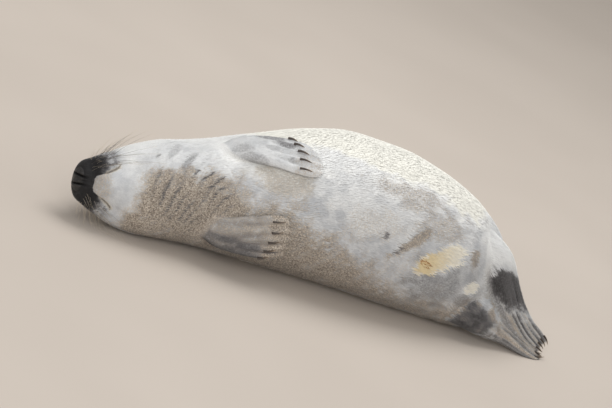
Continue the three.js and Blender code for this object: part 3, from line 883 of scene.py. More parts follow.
def root_distance(s, angle):
    """Distance to the nearest whisker's root, worked out on the muzzle only."""
    far = np.full(s.shape, FAR)
    muzzle = s < PAD_END
    at = on_head(s[muzzle], angle[muzzle])
    far[muzzle] = np.min(np.linalg.norm(at[..., None, :] - whisker_roots, axis=-1), -1)
    return far


def mouth_distance(s, angle):
    """Distance to the mouth, worked out on the head only."""
    far = np.full(s.shape, FAR)
    head = s < MOUTH_END
    far[head] = near_path(on_head(s[head], angle[head]), mouth_path)
    return far


def blot(t, across, middle, size, rough):
    """1 on a soft spot of a flipper, with its middle and size along and across it."""
    return smooth(1.25, 0.5, np.hypot((t - middle[0]) / size[0], (across - middle[1]) / size[1]) + rough)


def between_digits(across):
    """1 in the grooves between a flipper's five digits, and 0 on each digit."""
    return smooth(0.45, 0.05, ridge(across)) * smooth(0.95, 0.75, np.abs(across))


# Grey blots of the left fore flipper, as (middle, size, amount); the first two, at the root
# and along its lower edge, are painted shade under the root.
FORE_BLOTS_AND_SHADE = [
    ((0.2, 0.3), (0.12, 0.5), 0.3), ((0.3, 0.9), (0.2, 0.3), 0.3), ((0.55, -0.75), (0.2, 0.34), 0.36),
    ((0.66, -0.4), (0.12, 0.3), 0.4), ((0.5, 0.1), (0.12, 0.3), 0.26), ((0.7, 0.5), (0.1, 0.2), 0.34),
    ((0.8, -0.05), (0.08, 0.3), 0.3),
]


def fore_markings(limb, t, across, ragged, streak):
    """A fore flipper's dark and sandy parts: grey blots on a pale left one, two of them painted
    shade at its root, a taupe right one that is darkest low down, mostly as painted shade,
    and tan digits with painted shade in the grooves between them."""
    # Painted shade in the grooves between the digits.
    groove_shade = between_digits(across) * smooth(0.66, 0.76, t) * smooth(0.99, 0.93, t)
    groove_shade = groove_shade * smooth(0.3, 0.7, streak)
    tips = smooth(0.68, 0.86, t + 0.2 * ragged)
    if limb["name"] == "left_fore":
        dark = np.maximum(0.13 + 0.16 * ragged + 0.2 * (streak - 0.5), 0.42 * groove_shade)
        for middle, size, amount in FORE_BLOTS_AND_SHADE:
            dark = np.maximum(dark, amount * blot(t, across, middle, size, 0.8 * ragged))
        return dark * (1 - 0.3 * tips), 0.1 + 0.25 * tips * smooth(-1.2, 0.6, across) + 0.2 * ragged
    # Darkest low down: mostly painted shade under the flipper, over a taupe coat.
    low = smooth(0.9, -1.3, across)
    dark = 0.24 + 0.3 * low + 0.2 * (streak - 0.5) + 0.1 * ragged
    return np.maximum(dark * (1 - 0.75 * tips), 0.55 * groove_shade), 0.6 + 0.2 * tips + 0.25 * ragged


def hind_markings(limb, t, across, ragged, streak):
    """A hind flipper's dark, sandy and pale parts: a charcoal cap below a pale ankle, then
    dusky and sandy stripes along the digits. The right one is dark round a greyer middle,
    which is a painted sheen, with crusts of sand."""
    stripes = smooth(0.3, 0.72, 0.75 * streak + 0.3 * ridge(across) - 0.02)
    if limb["name"] == "left_hind":
        top = np.interp(across, [-1, -0.8, 0, 0.5, 1], [0.48, 0.4, 0.25, 0.19, 0.22])
        end = np.interp(across, [-1, -0.15, 0.5, 1], [0.7, 0.66, 0.56, 0.46])
        cap = smooth(-0.04, 0.05, t - top + 0.1 * ragged) * smooth(0.1, -0.1, t - end + 0.2 * ragged)
        digits = smooth(-0.08, 0.1, t - end + 0.2 * ragged)
        dark = np.maximum((0.6 + 0.3 * (streak - 0.5)) * cap, 0.5 * digits * (1 - 0.8 * stripes))
        return dark, (0.1 + 0.5 * stripes) * digits, 0.4 * (1 - smooth(-0.1, 0.04, t - top))
    crust = smooth(0.56, 0.3, t + 0.3 * ragged)
    # Darker at the edges and root than in the middle: the greyer middle is a painted sheen.
    rim = smooth(0.35, 0.95, np.abs(across + 0.1)) + smooth(0.2, 0.05, t)
    dark = (0.14 + 0.4 * np.minimum(rim, 1) * smooth(0.02, 0.12, t) + 0.4 * ragged) * crust
    dark = np.maximum(dark, 0.44 * (1 - crust) * (1 - 0.75 * stripes))
    sand = 0.75 * crust * smooth(0.08, -0.12, ragged) + (1 - crust) * (0.3 + 0.45 * stripes)
    return dark, sand, 0 * t


def limb_markings(limb, t, angle):
    """Markings of a flipper or the tail, in the body's four channels."""
    at = limb_point(limb, t, angle)
    across = power(np.cos(angle), limb["fullness"])
    ragged = 0.7 * (lumps(at, 15, 11) - 0.5) + 0.5 * (lumps(at, 6, 12) - 0.5)
    if "root" in limb:
        streak = lumps(np.stack([across * 30, t * 20, np.sin(angle) * 9], -1), 5.5, 15)
        dark, sand = fore_markings(limb, t, across, ragged, streak)
        pale = 0.2 * (limb["name"] == "left_fore") + 0 * t
    elif limb["name"] == "tail":
        dark, sand, pale = 0.3 + 0.4 * smooth(0.2, 0.8, t), 0.2 + 0.5 * ragged, 0.2 + 0 * t
    else:
        streak = lumps(np.stack([np.sin(angle) * 8, across * 32, t * 9], -1), 5.5, 14)
        dark, sand, pale = hind_markings(limb, t, across, ragged, streak)
    return np.clip(np.stack([pale, sand, 0 * t, dark], -1), 0, 1)


# ------------------------------------------------------------------ shader maths
class Value:
    """A socket of a node tree, with arithmetic: an expression adds its Math nodes."""

    def __init__(self, shader, socket):
        self.shader, self.socket = shader, socket

    def maths(self, operation, other):
        return self.shader.add("ShaderNodeMath", {"operation": operation}, {0: self, 1: other})

    def __add__(self, other):
        return self.maths("ADD", other)

    def __sub__(self, other):
        return self.maths("SUBTRACT", other)

    def __rsub__(self, other):
        return (self * -1) + other

    def __mul__(self, other):
        return self.maths("MULTIPLY", other)

    __radd__, __rmul__ = __add__, __mul__

    def step(self, low, high):
        """0 below low and 1 above high, with a smooth step between; high may be the lower."""
        settings = {"interpolation_type": "SMOOTHSTEP"}
        inputs = {"Value": self, "From Min": low, "From Max": high}
        return self.shader.add("ShaderNodeMapRange", settings, inputs)


class Shader:
    """A material and the one method that adds its nodes."""

    def __init__(self, name, display):
        self.material = bpy.data.materials.new(name)
        self.material.use_nodes = True
        self.material.diffuse_color = (*display, 1)
        self.tree = self.material.node_tree
        self.surface = self.tree.nodes["Principled BSDF"]

    def add(self, kind, settings=None, inputs=None, output=0):
        """Adds a node: settings first, then the numbers, colours or links of its sockets."""
        node = self.tree.nodes.new(kind)
        for name, value in (settings or {}).items():
            setattr(node, name, value)
        for name, value in (inputs or {}).items():
            self.plug(node.inputs[name], value)
        return Value(self, node.outputs[output])

    def plug(self, socket, value):
        if isinstance(value, Value):
            self.tree.links.new(value.socket, socket)
        else:
            socket.default_value = value

    def mix(self, factor, first, second, blend="MIX"):
        """Colours mixed by a factor."""
        settings = {"data_type": "RGBA", "blend_type": blend, "clamp_factor": True}
        first, second = (c if isinstance(c, Value) else (*c, 1) for c in (first, second))
        return self.add("ShaderNodeMix", settings, {0: factor, 6: first, 7: second}, output=2)

    def attribute(self, name, output=0):
        return self.add("ShaderNodeAttribute", {"attribute_name": name}, output=output)

    def channels(self, name):
        """The three channels of an attribute, and its fourth."""
        colour = self.attribute(name)
        split = self.tree.nodes.new("ShaderNodeSeparateColor")
        self.plug(split.inputs[0], colour)
        fourth = Value(self, colour.socket.node.outputs["Alpha"])
        return [Value(self, out) for out in split.outputs] + [fourth]

    def place(self):
        return self.add("ShaderNodeTexCoord", output=3)

    def noise(self, vector, scale, detail=2.0, roughness=0.5):
        """Noise about 0.5 with so many lumps to the metre."""
        inputs = {"Vector": vector, "Scale": scale, "Detail": detail, "Roughness": roughness}
        return self.add("ShaderNodeTexNoise", None, inputs)

    def bump(self, height, distance, strength=1.0, normal=None):
        inputs = {"Height": height, "Distance": distance, "Strength": strength}
        if normal is not None:
            inputs["Normal"] = normal
        return self.add("ShaderNodeBump", None, inputs)

    def finish(self, **sockets):
        """Sets the surface's own sockets by name, with a space for each underscore."""
        for name, value in sockets.items():
            if isinstance(value, tuple):
                value = (*value, 1)
            self.plug(self.surface.inputs[name.replace("_", " ")], value)
        return self.material


def rgb(red, green, blue):
    """A colour written as 0 to 255 on screen, as the linear light that shaders use."""
    screen = np.array([red, green, blue]) / 255
    return tuple(np.where(screen <= 0.04045, screen / 12.92, ((screen + 0.055) / 1.055) ** 2.4).tolist())


SILVER, SHADED_SILVER, WHITE = rgb(222, 223, 224), rgb(202, 204, 207), rgb(250, 250, 248)
CREAM, STRAW, RUST = rgb(255, 253, 243), rgb(236, 216, 172), rgb(172, 118, 62)
TAN, GRAIN, PALE_GRAIN = rgb(176, 161, 144), rgb(92, 79, 68), rgb(220, 208, 192)
CHARCOAL, TAUPE = rgb(40, 39, 40), rgb(122, 120, 121)


def grey(level):
    """A grey, as linear light."""
    return (level, level, level)


def coat_colour(shader):
    """The coat's colour from its four markings: silver with soft mottling, then paler,
    then straw, sand with fine grains in it, and charcoal over all."""
    pale, sand, yellow, dark = shader.channels("marks")
    where = shader.place()
    mottle = shader.noise(where, 38, 3)
    fleck = shader.noise(where, 330, 2)
    grains = shader.noise(where, 330, 3, 0.75)
    colour = shader.mix(mottle.step(0.62, 0.34), SILVER, SHADED_SILVER)
    colour = shader.mix((pale * 2).step(0.0, 1.1), colour, WHITE)
    colour = shader.mix((pale * 2 - 0.9).step(0.0, 0.9), colour, CREAM)
    colour = shader.mix((yellow * 2).step(0.0, 1.0), colour, STRAW)
    colour = shader.mix((yellow * 2 - 0.9).step(0.0, 0.9), colour, RUST)
    clinging = (sand + (fleck - 0.5) * 1.3 * sand.step(0.02, 0.3)).step(0.1, 0.8)
    sandy = shader.mix(grains.step(0.5, 0.6), TAN, PALE_GRAIN)
    sandy = shader.mix(grains.step(0.48, 0.38), sandy, GRAIN)
    colour = shader.mix(clinging * 0.92, colour, sandy)
    charred = (dark + (fleck - 0.5) * 0.3 * dark.step(0.03, 0.4)).step(0.0, 1.0)
    dusky = shader.mix(charred.step(0.3, 1.0), TAUPE, CHARCOAL)
    colour = shader.mix(charred.step(0.02, 0.5), colour, dusky)
    return colour, sand, fleck, grains


def skin_material():
    """Skin and the shortest, flattest fur: the coat's markings, a little darker, with
    streaks along the lie of the coat raised by bump, and grains where sand clings."""
    shader = Shader("short_coat", SILVER)
    colour, sand, fleck, grains = coat_colour(shader)
    lie = shader.attribute("lie", output=1)
    streaks = shader.noise(lie, 900, 3, 0.65)
    colour = shader.mix(streaks.step(0.7, 0.3) * 0.3, colour, grey(0.2), "MULTIPLY")
    normal = shader.bump(streaks, 0.0012, 0.5)
    normal = shader.bump(grains * sand, 0.0016, 0.7, normal)
    return shader.finish(Base_Color=colour, Roughness=0.78 - fleck * 0.1, Normal=normal,
                         Specular_IOR_Level=0.25)


# ------------------------------------------------------------------ coat
PLANE_FILLING = np.array([0.7548776662466927, 0.5698402909980532])


def scatter(count, density):
    """Even places over a grid of densities, each from 0 to 1 down and across it: numbers
    that fill a square evenly pick a row by the rows' running total, then a place in it."""
    pick = (0.5 + np.arange(count)[:, None] * PLANE_FILLING) % 1
    rows, columns = density.shape
    heavy = density.sum(1)
    ends = np.cumsum(heavy)
    goal = pick[:, 0] * ends[-1]
    row = np.minimum(np.searchsorted(ends, goal), rows - 1)
    down = 1 - (ends[row] - goal) / heavy[row]
    running = np.cumsum(density)
    goal = ends[row] - heavy[row] * (1 - pick[:, 1])
    cell = np.clip(np.searchsorted(running, goal), row * columns, (row + 1) * columns - 1)
    beside = 1 - (running[cell] - goal) / density.ravel()[cell]
    return (row + down) / rows, (cell - row * columns + np.clip(beside, 0, 1)) / columns


# Past this distance from the nose a tuft carries straight on.
LAST_RING = SPINE_END - 0.6


class Body:
    """The trunk and head as a surface for tufts, over the spine and round it."""

    def at(self, s, angle, lift=0.0):
        beyond = np.maximum(s - LAST_RING, 0)
        at, normal = skin_point(np.clip(s, 0.01, LAST_RING), angle, lift)
        at[..., 0] += beyond
        return at, normal

    def marks(self, s, angle):
        return body_markings(s, angle)


class Limb:
    """A flipper or the tail as a surface for tufts, over its length and round it. Past its
    end it carries straight on, as a fringe does."""

    def __init__(self, limb):
        self.limb = limb
        self.turned = -1 if limb.get("thumb", -1) > 0 else 1

    def at(self, t, angle, lift=0.0):
        inner = np.clip(t, 0.002, 0.998)
        small = 0.004
        behind, ahead = (limb_point(self.limb, inner + part * small / 2, angle) for part in (-1, 1))
        before, after = (limb_point(self.limb, inner, angle + part * 0.02) for part in (-1, 1))
        along, around = ahead - behind, after - before
        normal = unit(np.cross(along, around)) * self.turned
        at = limb_skin(self.limb, inner, angle, lift) + along * ((t - inner) / small)[..., None]
        return at, normal

    def marks(self, t, angle):
        return limb_markings(self.limb, t, angle)


def spans(surface, u, v):
    """Millimetres for each unit along and round a surface, from small steps on it."""
    small = 0.002 if isinstance(surface, Limb) else 0.5
    here, _ = surface.at(u, v)
    along, _ = surface.at(u + small, v)
    around, _ = surface.at(u, v + 0.01)
    return (
        np.maximum(np.linalg.norm(along - here, axis=-1) / small, 1e-3),
        np.maximum(np.linalg.norm(around - here, axis=-1) / 0.01, 4),
    )


# The size of a tuft's patch on the map, and the map's margin and width within it.
PATCH, MAP_EDGE, MAP_WIDE = 0.003, 0.01, 0.98
# How deep tufts are rooted, their thickness for half their width, and the most of it.
ROOT, BLADE, THICKEST = 0.8, 0.26, 0.3


def tufts(name, surface, u, v, ends, size, rings, material, draw):
    """Closed three-sided blades that lie along a surface: each follows it from its root,
    rises as one less the square of what is left of its length, sways to the sides, and
    narrows to a tip. size holds arrays of length, width, rise, sway and wave. The map
    unwraps the surface between two ends as a rectangle."""
    count = len(u)
    length, width, rise, sway, wave = size
    per_u, per_v = spans(surface, u, v)
    phase = draw.uniform(0, 2 * np.pi, count)
    parts = np.arange(rings + 1) / rings
    points, normals, floors = [], [], []
    for part in parts:
        aside = np.sin(sway) * part + wave * (np.sin(phase + part * 7.5) - np.sin(phase)) * part
        lift = -ROOT + (rise + ROOT) * (1 - (1 - part) ** 2)
        at, normal = surface.at(
            u + length * np.cos(sway) * part / per_u, v + length * aside / per_v, lift
        )
        points.append(at)
        normals.append(normal)
        floors.append(at - normal * lift[..., None])
    steps = [np.diff(np.stack(p), axis=0) for p in (points, floors)]
    corners, shades = [], []
    for ring in range(rings):
        forward, ground = steps[0][ring], steps[1][ring]
        aside = unit(np.cross(normals[ring], forward))
        up = unit(np.cross(unit(ground), aside))
        up = np.where(np.sum(up * normals[ring], -1, keepdims=True) < 0.2, normals[ring], up)
        wide = (width * (1 - 0.55 * parts[ring] ** 2) * (0.75 + 0.25 * min(1, ring)) / 2)[:, None]
        thick = np.minimum(wide * BLADE, THICKEST)
        corners += [points[ring] + aside * wide - up * thick, points[ring] - aside * wide - up * thick,
                    points[ring] + up * thick]
        shades += [unit(0.95 * up + 0.2 * aside), unit(0.95 * up - 0.2 * aside), up]
    corners.append(points[-1])
    shades.append(shades[-1])
    per = 3 * rings + 1
    points = np.stack(corners, 1)
    points[..., 2] = np.maximum(points[..., 2], FLOOR_FUR)
    start = (np.arange(count) * per)[:, None]
    quads, tips = [], []
    for side in range(3):
        after = (side + 1) % 3
        for ring in range(rings - 1):
            k = 3 * ring
            quads.append(start + [k + side, k + 3 + side, k + 3 + after, k + after])
        k = 3 * (rings - 1)
        tips.append(start + [k + side, per - 1, k + after])
    tips.append(start + [0, 1, 2])
    faces = [np.concatenate(quads), np.concatenate(tips)]
    along = np.append(np.repeat(parts[:-1], 3), 1)
    across = np.append(np.tile([-1, 1, 0], rings), 0)
    tone = draw.uniform(0, 1, count)
    strand = np.stack([np.repeat(tone, per), np.tile(along, count), np.repeat(phase / 6.3, per)], -1)
    marks = np.repeat(surface.marks(u, v), per, axis=0)
    piece = new_piece(name, points.reshape(-1, 3), faces, material, {"marks": marks, "strand": strand})
    unwrapped = np.stack([v / (2 * np.pi) + 0.5, (u - ends[0]) / (ends[1] - ends[0])], -1)
    at = MAP_EDGE + MAP_WIDE * unwrapped[:, None] + PATCH * np.stack([across / 2, along - 0.5], -1)
    loops = np.concatenate([part.ravel() for part in faces])
    piece.data.uv_layers.new(name="OFBake").data.foreach_set(
        "uv", at.reshape(-1, 2)[loops].astype(np.float32).ravel()
    )
    piece.data.normals_split_custom_set_from_vertices(np.stack(shades, 1).reshape(-1, 3))
    return piece


# How long and wide tufts are at distances from the nose.
tuft_length = curve([
    (0, 3.6), (30, 4.4), (60, 5.4), (100, 7), (150, 9), (200, 10.5), (300, 13), (975, 14),
])
tuft_width = curve([
    (0, 0.7), (30, 0.8), (60, 0.95), (100, 1.2), (150, 1.5), (200, 1.7), (300, 1.9), (975, 2.0),
])
# The weight of a cell that stays bare, which keeps running totals of weights rising.
BARE = 1e-7
# The least and most of the usual length and width.
LENGTHS, WIDTHS = (0.75, 1.2), (0.8, 1.2)
# Rows and columns of cells on a belt of the body, under the wool, and on a limb.
BELT_CELLS, WOOL_CELLS, LIMB_CELLS = (90, 240), (160, 240), (120, 96)


def eye_opening(at):
    """Size of the almond round an eye's opening on which each point lies: 1 on its rim."""
    size = np.full(at.shape[:-1], FAR)
    for side in (1, -1):
        ahead, up, out = eye_axes(side)
        away = at - eye_centre(side)
        found = np.hypot((away @ ahead) / EYE_LONG, (away @ up) / EYE_TALL)
        size = np.where(away @ out > 4, np.minimum(size, found), size)
    return size


def cells(point, low, high, shape):
    """A grid of cells over a surface between two ends and all the way round: the middles'
    distances and angles, their places, and twice the cells' areas."""
    rows, columns = shape
    along = low + (high - low) * (np.arange(rows) + 0.5) / rows
    angle = (np.arange(columns) + 0.5) / columns * 2 * np.pi - np.pi
    along, angle = np.meshgrid(along, angle, indexing="ij")
    at = point(along, angle)
    around = np.roll(at, -1, 1) - np.roll(at, 1, 1)
    return along, angle, at, np.linalg.norm(np.cross(np.gradient(at, axis=0), around), axis=-1)


def body_cells(low, high, shape):
    """A grid of cells between two distances from the nose, and each cell's area over the
    size of a tuft there. Cells on nose, eyes, mouth and follicles are bare, and those on
    the floor nearly so."""
    s, angle, at, area = cells(body_point, low, high, shape)
    bare = (nose_patch(s, angle) > 0.02) | ((mouth_distance(s, angle) < 1.9) & (s > 18))
    bare = bare | (eye_opening(at) < 1.22) | (root_distance(s, angle) < 1.8)
    weight = area / (tuft_length(s) * tuft_width(s)) * np.where(at[..., 2] < 3, 0.15, 1)
    return s, angle, np.where(bare, BARE, weight)


def wool_at(s, angle):
    """How woolly the coat is, from 0 to 1: the upper half of pale."""
    return np.maximum(body_markings(s, angle)[..., 0] * 2 - 1, 0)


def sway_of(at, amount, draw):
    """Directions of tufts off the straight, in radians: locks sway together by a smooth
    noise, and each tuft a little by itself."""
    together = lumps(at, 17, 21) + 0.6 * lumps(at, 7, 22) - 0.8
    return amount * (2.4 * together + draw.uniform(-0.5, 0.5, len(at)))


# Belts of the body's coat, as (name, from, to, tufts).
BELTS = [
    ("coat_face", 0, 60, 12500), ("coat_head", 60, 186, 19800), ("coat_neck", 186, 330, 13500),
    ("coat_chest", 330, 480, 11500), ("coat_belly", 480, 620, 11500), ("coat_flank", 620, 770, 11500),
    ("coat_rump", 770, SPINE_END, 12500),
]
WOOL_FROM, WOOL_TO, WOOL_COUNT = 335, 935, 12000


def body_coat(material, draw):
    """The trunk's and head's coat, in belts along the spine: sleek short tufts all over,
    thinner under the wool, and the long wavy wool in a piece of its own."""
    body = Body()
    for name, low, high, count in BELTS:
        s, angle, weight = body_cells(low, high, BELT_CELLS)
        down, beside = scatter(count, weight * (1 - 0.5 * wool_at(s, angle)))
        s, angle = low + (high - low) * down, beside * 2 * np.pi - np.pi
        at = body_point(s, angle)
        length = tuft_length(s) * draw.uniform(*LENGTHS, count)
        width = tuft_width(s) * draw.uniform(*WIDTHS, count)
        rise = coat_depth(s) * draw.uniform(0.35, 1.0, count)
        size = length, width, rise, sway_of(at, 0.3, draw), 0.04
        keep(tufts(name, body, s, angle, (low, high), size, 2, material, draw), "silver_coat")
    s, angle, weight = body_cells(WOOL_FROM, WOOL_TO, WOOL_CELLS)
    down, beside = scatter(WOOL_COUNT, weight * wool_at(s, angle) ** 1.5 + BARE)
    s, angle = WOOL_FROM + (WOOL_TO - WOOL_FROM) * down, beside * 2 * np.pi - np.pi
    at = body_point(s, angle)
    length = (14 + 13 * wool_at(s, angle)) * draw.uniform(*LENGTHS, WOOL_COUNT)
    width = draw.uniform(1.5, 2.3, WOOL_COUNT)
    rise = coat_depth(s) * draw.uniform(0.35, 0.85, WOOL_COUNT)
    size = length, width, rise, sway_of(at, 0.36, draw), 0.1
    ends = WOOL_FROM, WOOL_TO
    keep(tufts("coat_wool", body, s, angle, ends, size, 3, material, draw), "cream_coat")


def nearest_along(at):
    """The distance from the nose at which the spine passes nearest to each point."""
    s = np.interp(at[..., 0], spine_plan[:, 0], np.arange(len(spine_plan)) * STEP)
    for _ in range(3):
        centre, belly_side, _, _ = spine(s)
        s = s + np.sum((at - centre) * np.cross(UP, belly_side), -1)
    return s


def buried(at):
    """How deep points lie in the trunk: under 1 inside it, by the superellipse's measure at
    the nearest distance along the spine."""
    s = nearest_along(at)
    centre, _, left, back = spine(s)
    aside, above = np.sum((at - centre) * left, -1), np.sum((at - centre) * back, -1)
    middle, reach = upright(s, above > section_centre(s))
    size = np.abs(aside / half_width(s)) ** SQUARENESS + np.abs((above - middle) / reach) ** SQUARENESS
    rump = np.clip((SPINE_END - s) / RUMP_ROUND, 0.01, 1)
    return size ** (1 / SQUARENESS) / np.sqrt(1 - (1 - rump) ** 2)


def clear_of_body(at):
    """Points moved straight out from the spine until they clear the skin by a little."""
    s = nearest_along(at)
    middle = place(s, 0 * s, section_centre(s))
    away = at - middle
    reach = np.linalg.norm(away, axis=-1)
    needed = (1 + 1.5 / np.maximum(reach, 1)) / np.maximum(buried(at), 1e-3)
    return middle + away * (1 + np.maximum(0, needed - 1) * smooth(50, 80, s))[..., None]


# How many tufts each limb has.
LIMB_COATS = {"left_fore": 5600, "right_fore": 5600, "left_hind": 7600, "right_hind": 7600, "tail": 1300}


def limb_coats(material, draw):
    """The short coat of flippers and tail, none where they lie in the trunk, and sparse on
    the sides that face it."""
    for name, count in LIMB_COATS.items():
        limb = limbs[name]
        surface = Limb(limb)
        t, angle, at, area = cells(lambda *at, limb=limb: limb_point(limb, *at), 0, 1, LIMB_CELLS)
        weight = area * smooth(0.93, 0.99, buried(at)) * np.where(at[..., 2] < 2.5, 0.2, 1)
        if "line" not in limb:
            weight = weight * np.where(np.sin(angle) < -0.35, 0.15, 1)
        down, beside = scatter(count, weight + BARE)
        t, angle = down, beside * 2 * np.pi - np.pi
        fine = smooth(0.2, 0.7, t)
        length = (9.5 - 3.6 * fine) * draw.uniform(*LENGTHS, count)
        width = (1.5 - 0.45 * fine) * draw.uniform(*WIDTHS, count)
        rise = (1.9 - 0.9 * fine) * draw.uniform(0.4, 1, count)
        size = length, width, rise, sway_of(limb_point(limb, t, angle), 0.28, draw), 0.03
        keep(tufts("coat_" + name, surface, t, angle, (0, 1), size, 2, material, draw), "flipper_coat")


def coat_material():
    """Fur: the coat's markings, each tuft a tone of its own, with painted shade darkening its root."""
    shader = Shader("coat", SILVER)
    colour, sand, _, grains = coat_colour(shader)
    tone, along, _, _ = shader.channels("strand")
    shade = shader.mix(tone, grey(0.88), grey(1.0))
    colour = shader.mix(1.0, colour, shade, "MULTIPLY")
    # Painted shade deep in the coat: each tuft darker towards its root.
    root = shader.mix(along.step(0.0, 0.5), grey(0.86), grey(1.0))
    colour = shader.mix(1.0, colour, root, "MULTIPLY")
    crust = shader.bump(grains * sand.step(0.1, 0.6), 0.0022, 0.85)
    return shader.finish(Base_Color=colour, Roughness=0.85, Normal=crust, Specular_IOR_Level=0.12,
                         Sheen_Weight=0.25, Sheen_Roughness=0.5)


# ------------------------------------------------------------------ nose, eyes, claws, whiskers
def front_of(aside, above):
    """The distance from the nose and the angle at which the blunt front of the muzzle has a
    place aside and above: the outline's superellipse solved by a few rounds."""
    s, d = np.full(aside.shape, 5.0), np.zeros(aside.shape)
    for _ in range(8):
        middle, reach = upright(s, above > section_centre(s))
        wide = wide_at(s, d)
        across, up = np.abs(aside) / wide, np.abs(above - middle) / reach
        close = np.minimum((across ** SQUARENESS + up ** SQUARENESS) ** (1 / SQUARENESS), 0.999)
        s = NOSE_ROUND * (1 - np.sqrt(1 - close ** 2))
        d = power((above - middle) / reach / close, SQUARENESS / 2)
        c = power(aside / wide / close, SQUARENESS / 2)
        size = np.maximum(np.hypot(c, d), 1e-9)
        c, d = c / size, d / size
    return s, np.arctan2(d, c)


PAD_AROUND, PAD_TUCKS = 150, 3


def nose_pad():
    """Bare leather over the front of the muzzle: a closed oval lens whose front is the
    skin's own surface a little proud, and whose rim tucks in under the coat."""
    radius = np.concatenate([np.linspace(0.02, 0.9, 44), np.linspace(0.92, 1.06, 9)])
    r, turned = rings(radius, PAD_AROUND)
    flat = np.stack([r * NOSE_WIDE * np.cos(turned), NOSE_HEIGHT + r * NOSE_TALL * np.sin(turned)], -1)
    s, angle = front_of(flat[..., 0], flat[..., 1])
    lift = 0.75 - 2.6 * smooth(0.93, 1.06, r)
    front, normal = skin_point(s, angle, lift)
    backs = front[-1:] - normal[-1:] * np.array([2.0, 3.0])[:, None, None]
    inner = backs[-1:].mean(1, keepdims=True) * 0.6 + backs[-1:] * 0.4
    at = np.concatenate([front, backs, inner])[:, ::-1]
    # The first two channels of wet are painted shade in the nostrils and the groove under them; the third,
    # rim, makes the leather's edge less glossy.
    slit = near_path(np.stack([np.abs(flat[..., 0]), flat[..., 1]], -1), NOSTRIL)
    below = smooth(24, 18, flat[..., 1])
    wet = np.stack([hump(slit, 1.7), 0.4 * hump(flat[..., 0], 1.2) * below, smooth(0.8, 1.05, r)], -1)
    wet = np.concatenate([wet, np.ones((PAD_TUCKS, PAD_AROUND, 3)) * [0, 0, 1]])[:, ::-1]
    points, faces = closed_grid(at)
    piece = new_piece("nose_pad", points, faces, nose_finish(), {"wet": wet.reshape(-1, 3)})
    keep(piece, "nose_leather", "nose")


def nose_finish():
    """Dark leather in small plates, with painted shade in the creases between them and
    painted shade blackening the nostrils and the groove under them.
    """
    shader = Shader("nose_leather", rgb(52, 50, 50))
    opening, groove, rim, _ = shader.channels("wet")
    where = shader.place()
    scales = shader.add(
        "ShaderNodeTexVoronoi", {"feature": "DISTANCE_TO_EDGE"}, {"Vector": where, "Scale": 620.0}
    )
    patchy = shader.noise(where, 160, 3)
    colour = shader.mix(patchy.step(0.35, 0.7), rgb(34, 33, 33), rgb(58, 56, 56))
    # Painted shade: the plates' edges, the nostrils and the groove under them.
    colour = shader.mix(scales.step(0.12, 0.0) * 0.5, colour, rgb(28, 27, 27))
    colour = shader.mix(opening.step(0.15, 0.7), colour, rgb(12, 10, 10))
    colour = shader.mix(groove * 0.8, colour, rgb(16, 14, 14))
    normal = shader.bump(scales.step(0.0, 0.2), 0.0006, 0.55)
    return shader.finish(Base_Color=colour, Roughness=0.42 + rim * 0.25, Normal=normal,
                         Coat_Weight=0.05, Coat_Roughness=0.4, Specular_IOR_Level=0.35)


def eye_finish():
    """A wet eye: a near-black pupil in a dark brown iris with fibres that run outwards."""
    shader = Shader("wet_eye", rgb(26, 18, 14))
    out, turned, _, _ = shader.channels("disc")
    fibres = shader.add("ShaderNodeTexNoise", {"noise_dimensions": "1D"}, {"W": turned * 260, "Detail": 3.0})
    iris = shader.mix(fibres, rgb(24, 16, 12), rgb(13, 10, 9))
    colour = shader.mix(out.step(0.34, 0.42), rgb(5, 5, 5), iris)
    colour = shader.mix(out.step(0.66, 0.72), colour, rgb(14, 10, 9))
    return shader.finish(Base_Color=colour, Roughness=0.12, Coat_Weight=1.0, Coat_Roughness=0.02)


def lid_finish():
    """The dark bare rim of the lids, moist and finely creased."""
    shader = Shader("lid_rim", rgb(38, 34, 33))
    where = shader.place()
    crease = shader.noise(where, 900, 3)
    colour = shader.mix(crease, rgb(30, 26, 26), rgb(66, 58, 54))
    return shader.finish(Base_Color=colour, Roughness=0.4, Coat_Weight=0.3, Coat_Roughness=0.15,
                         Normal=shader.bump(crease, 0.0005, 0.5))


LID_AROUND, LID_SIDES = 96, 12


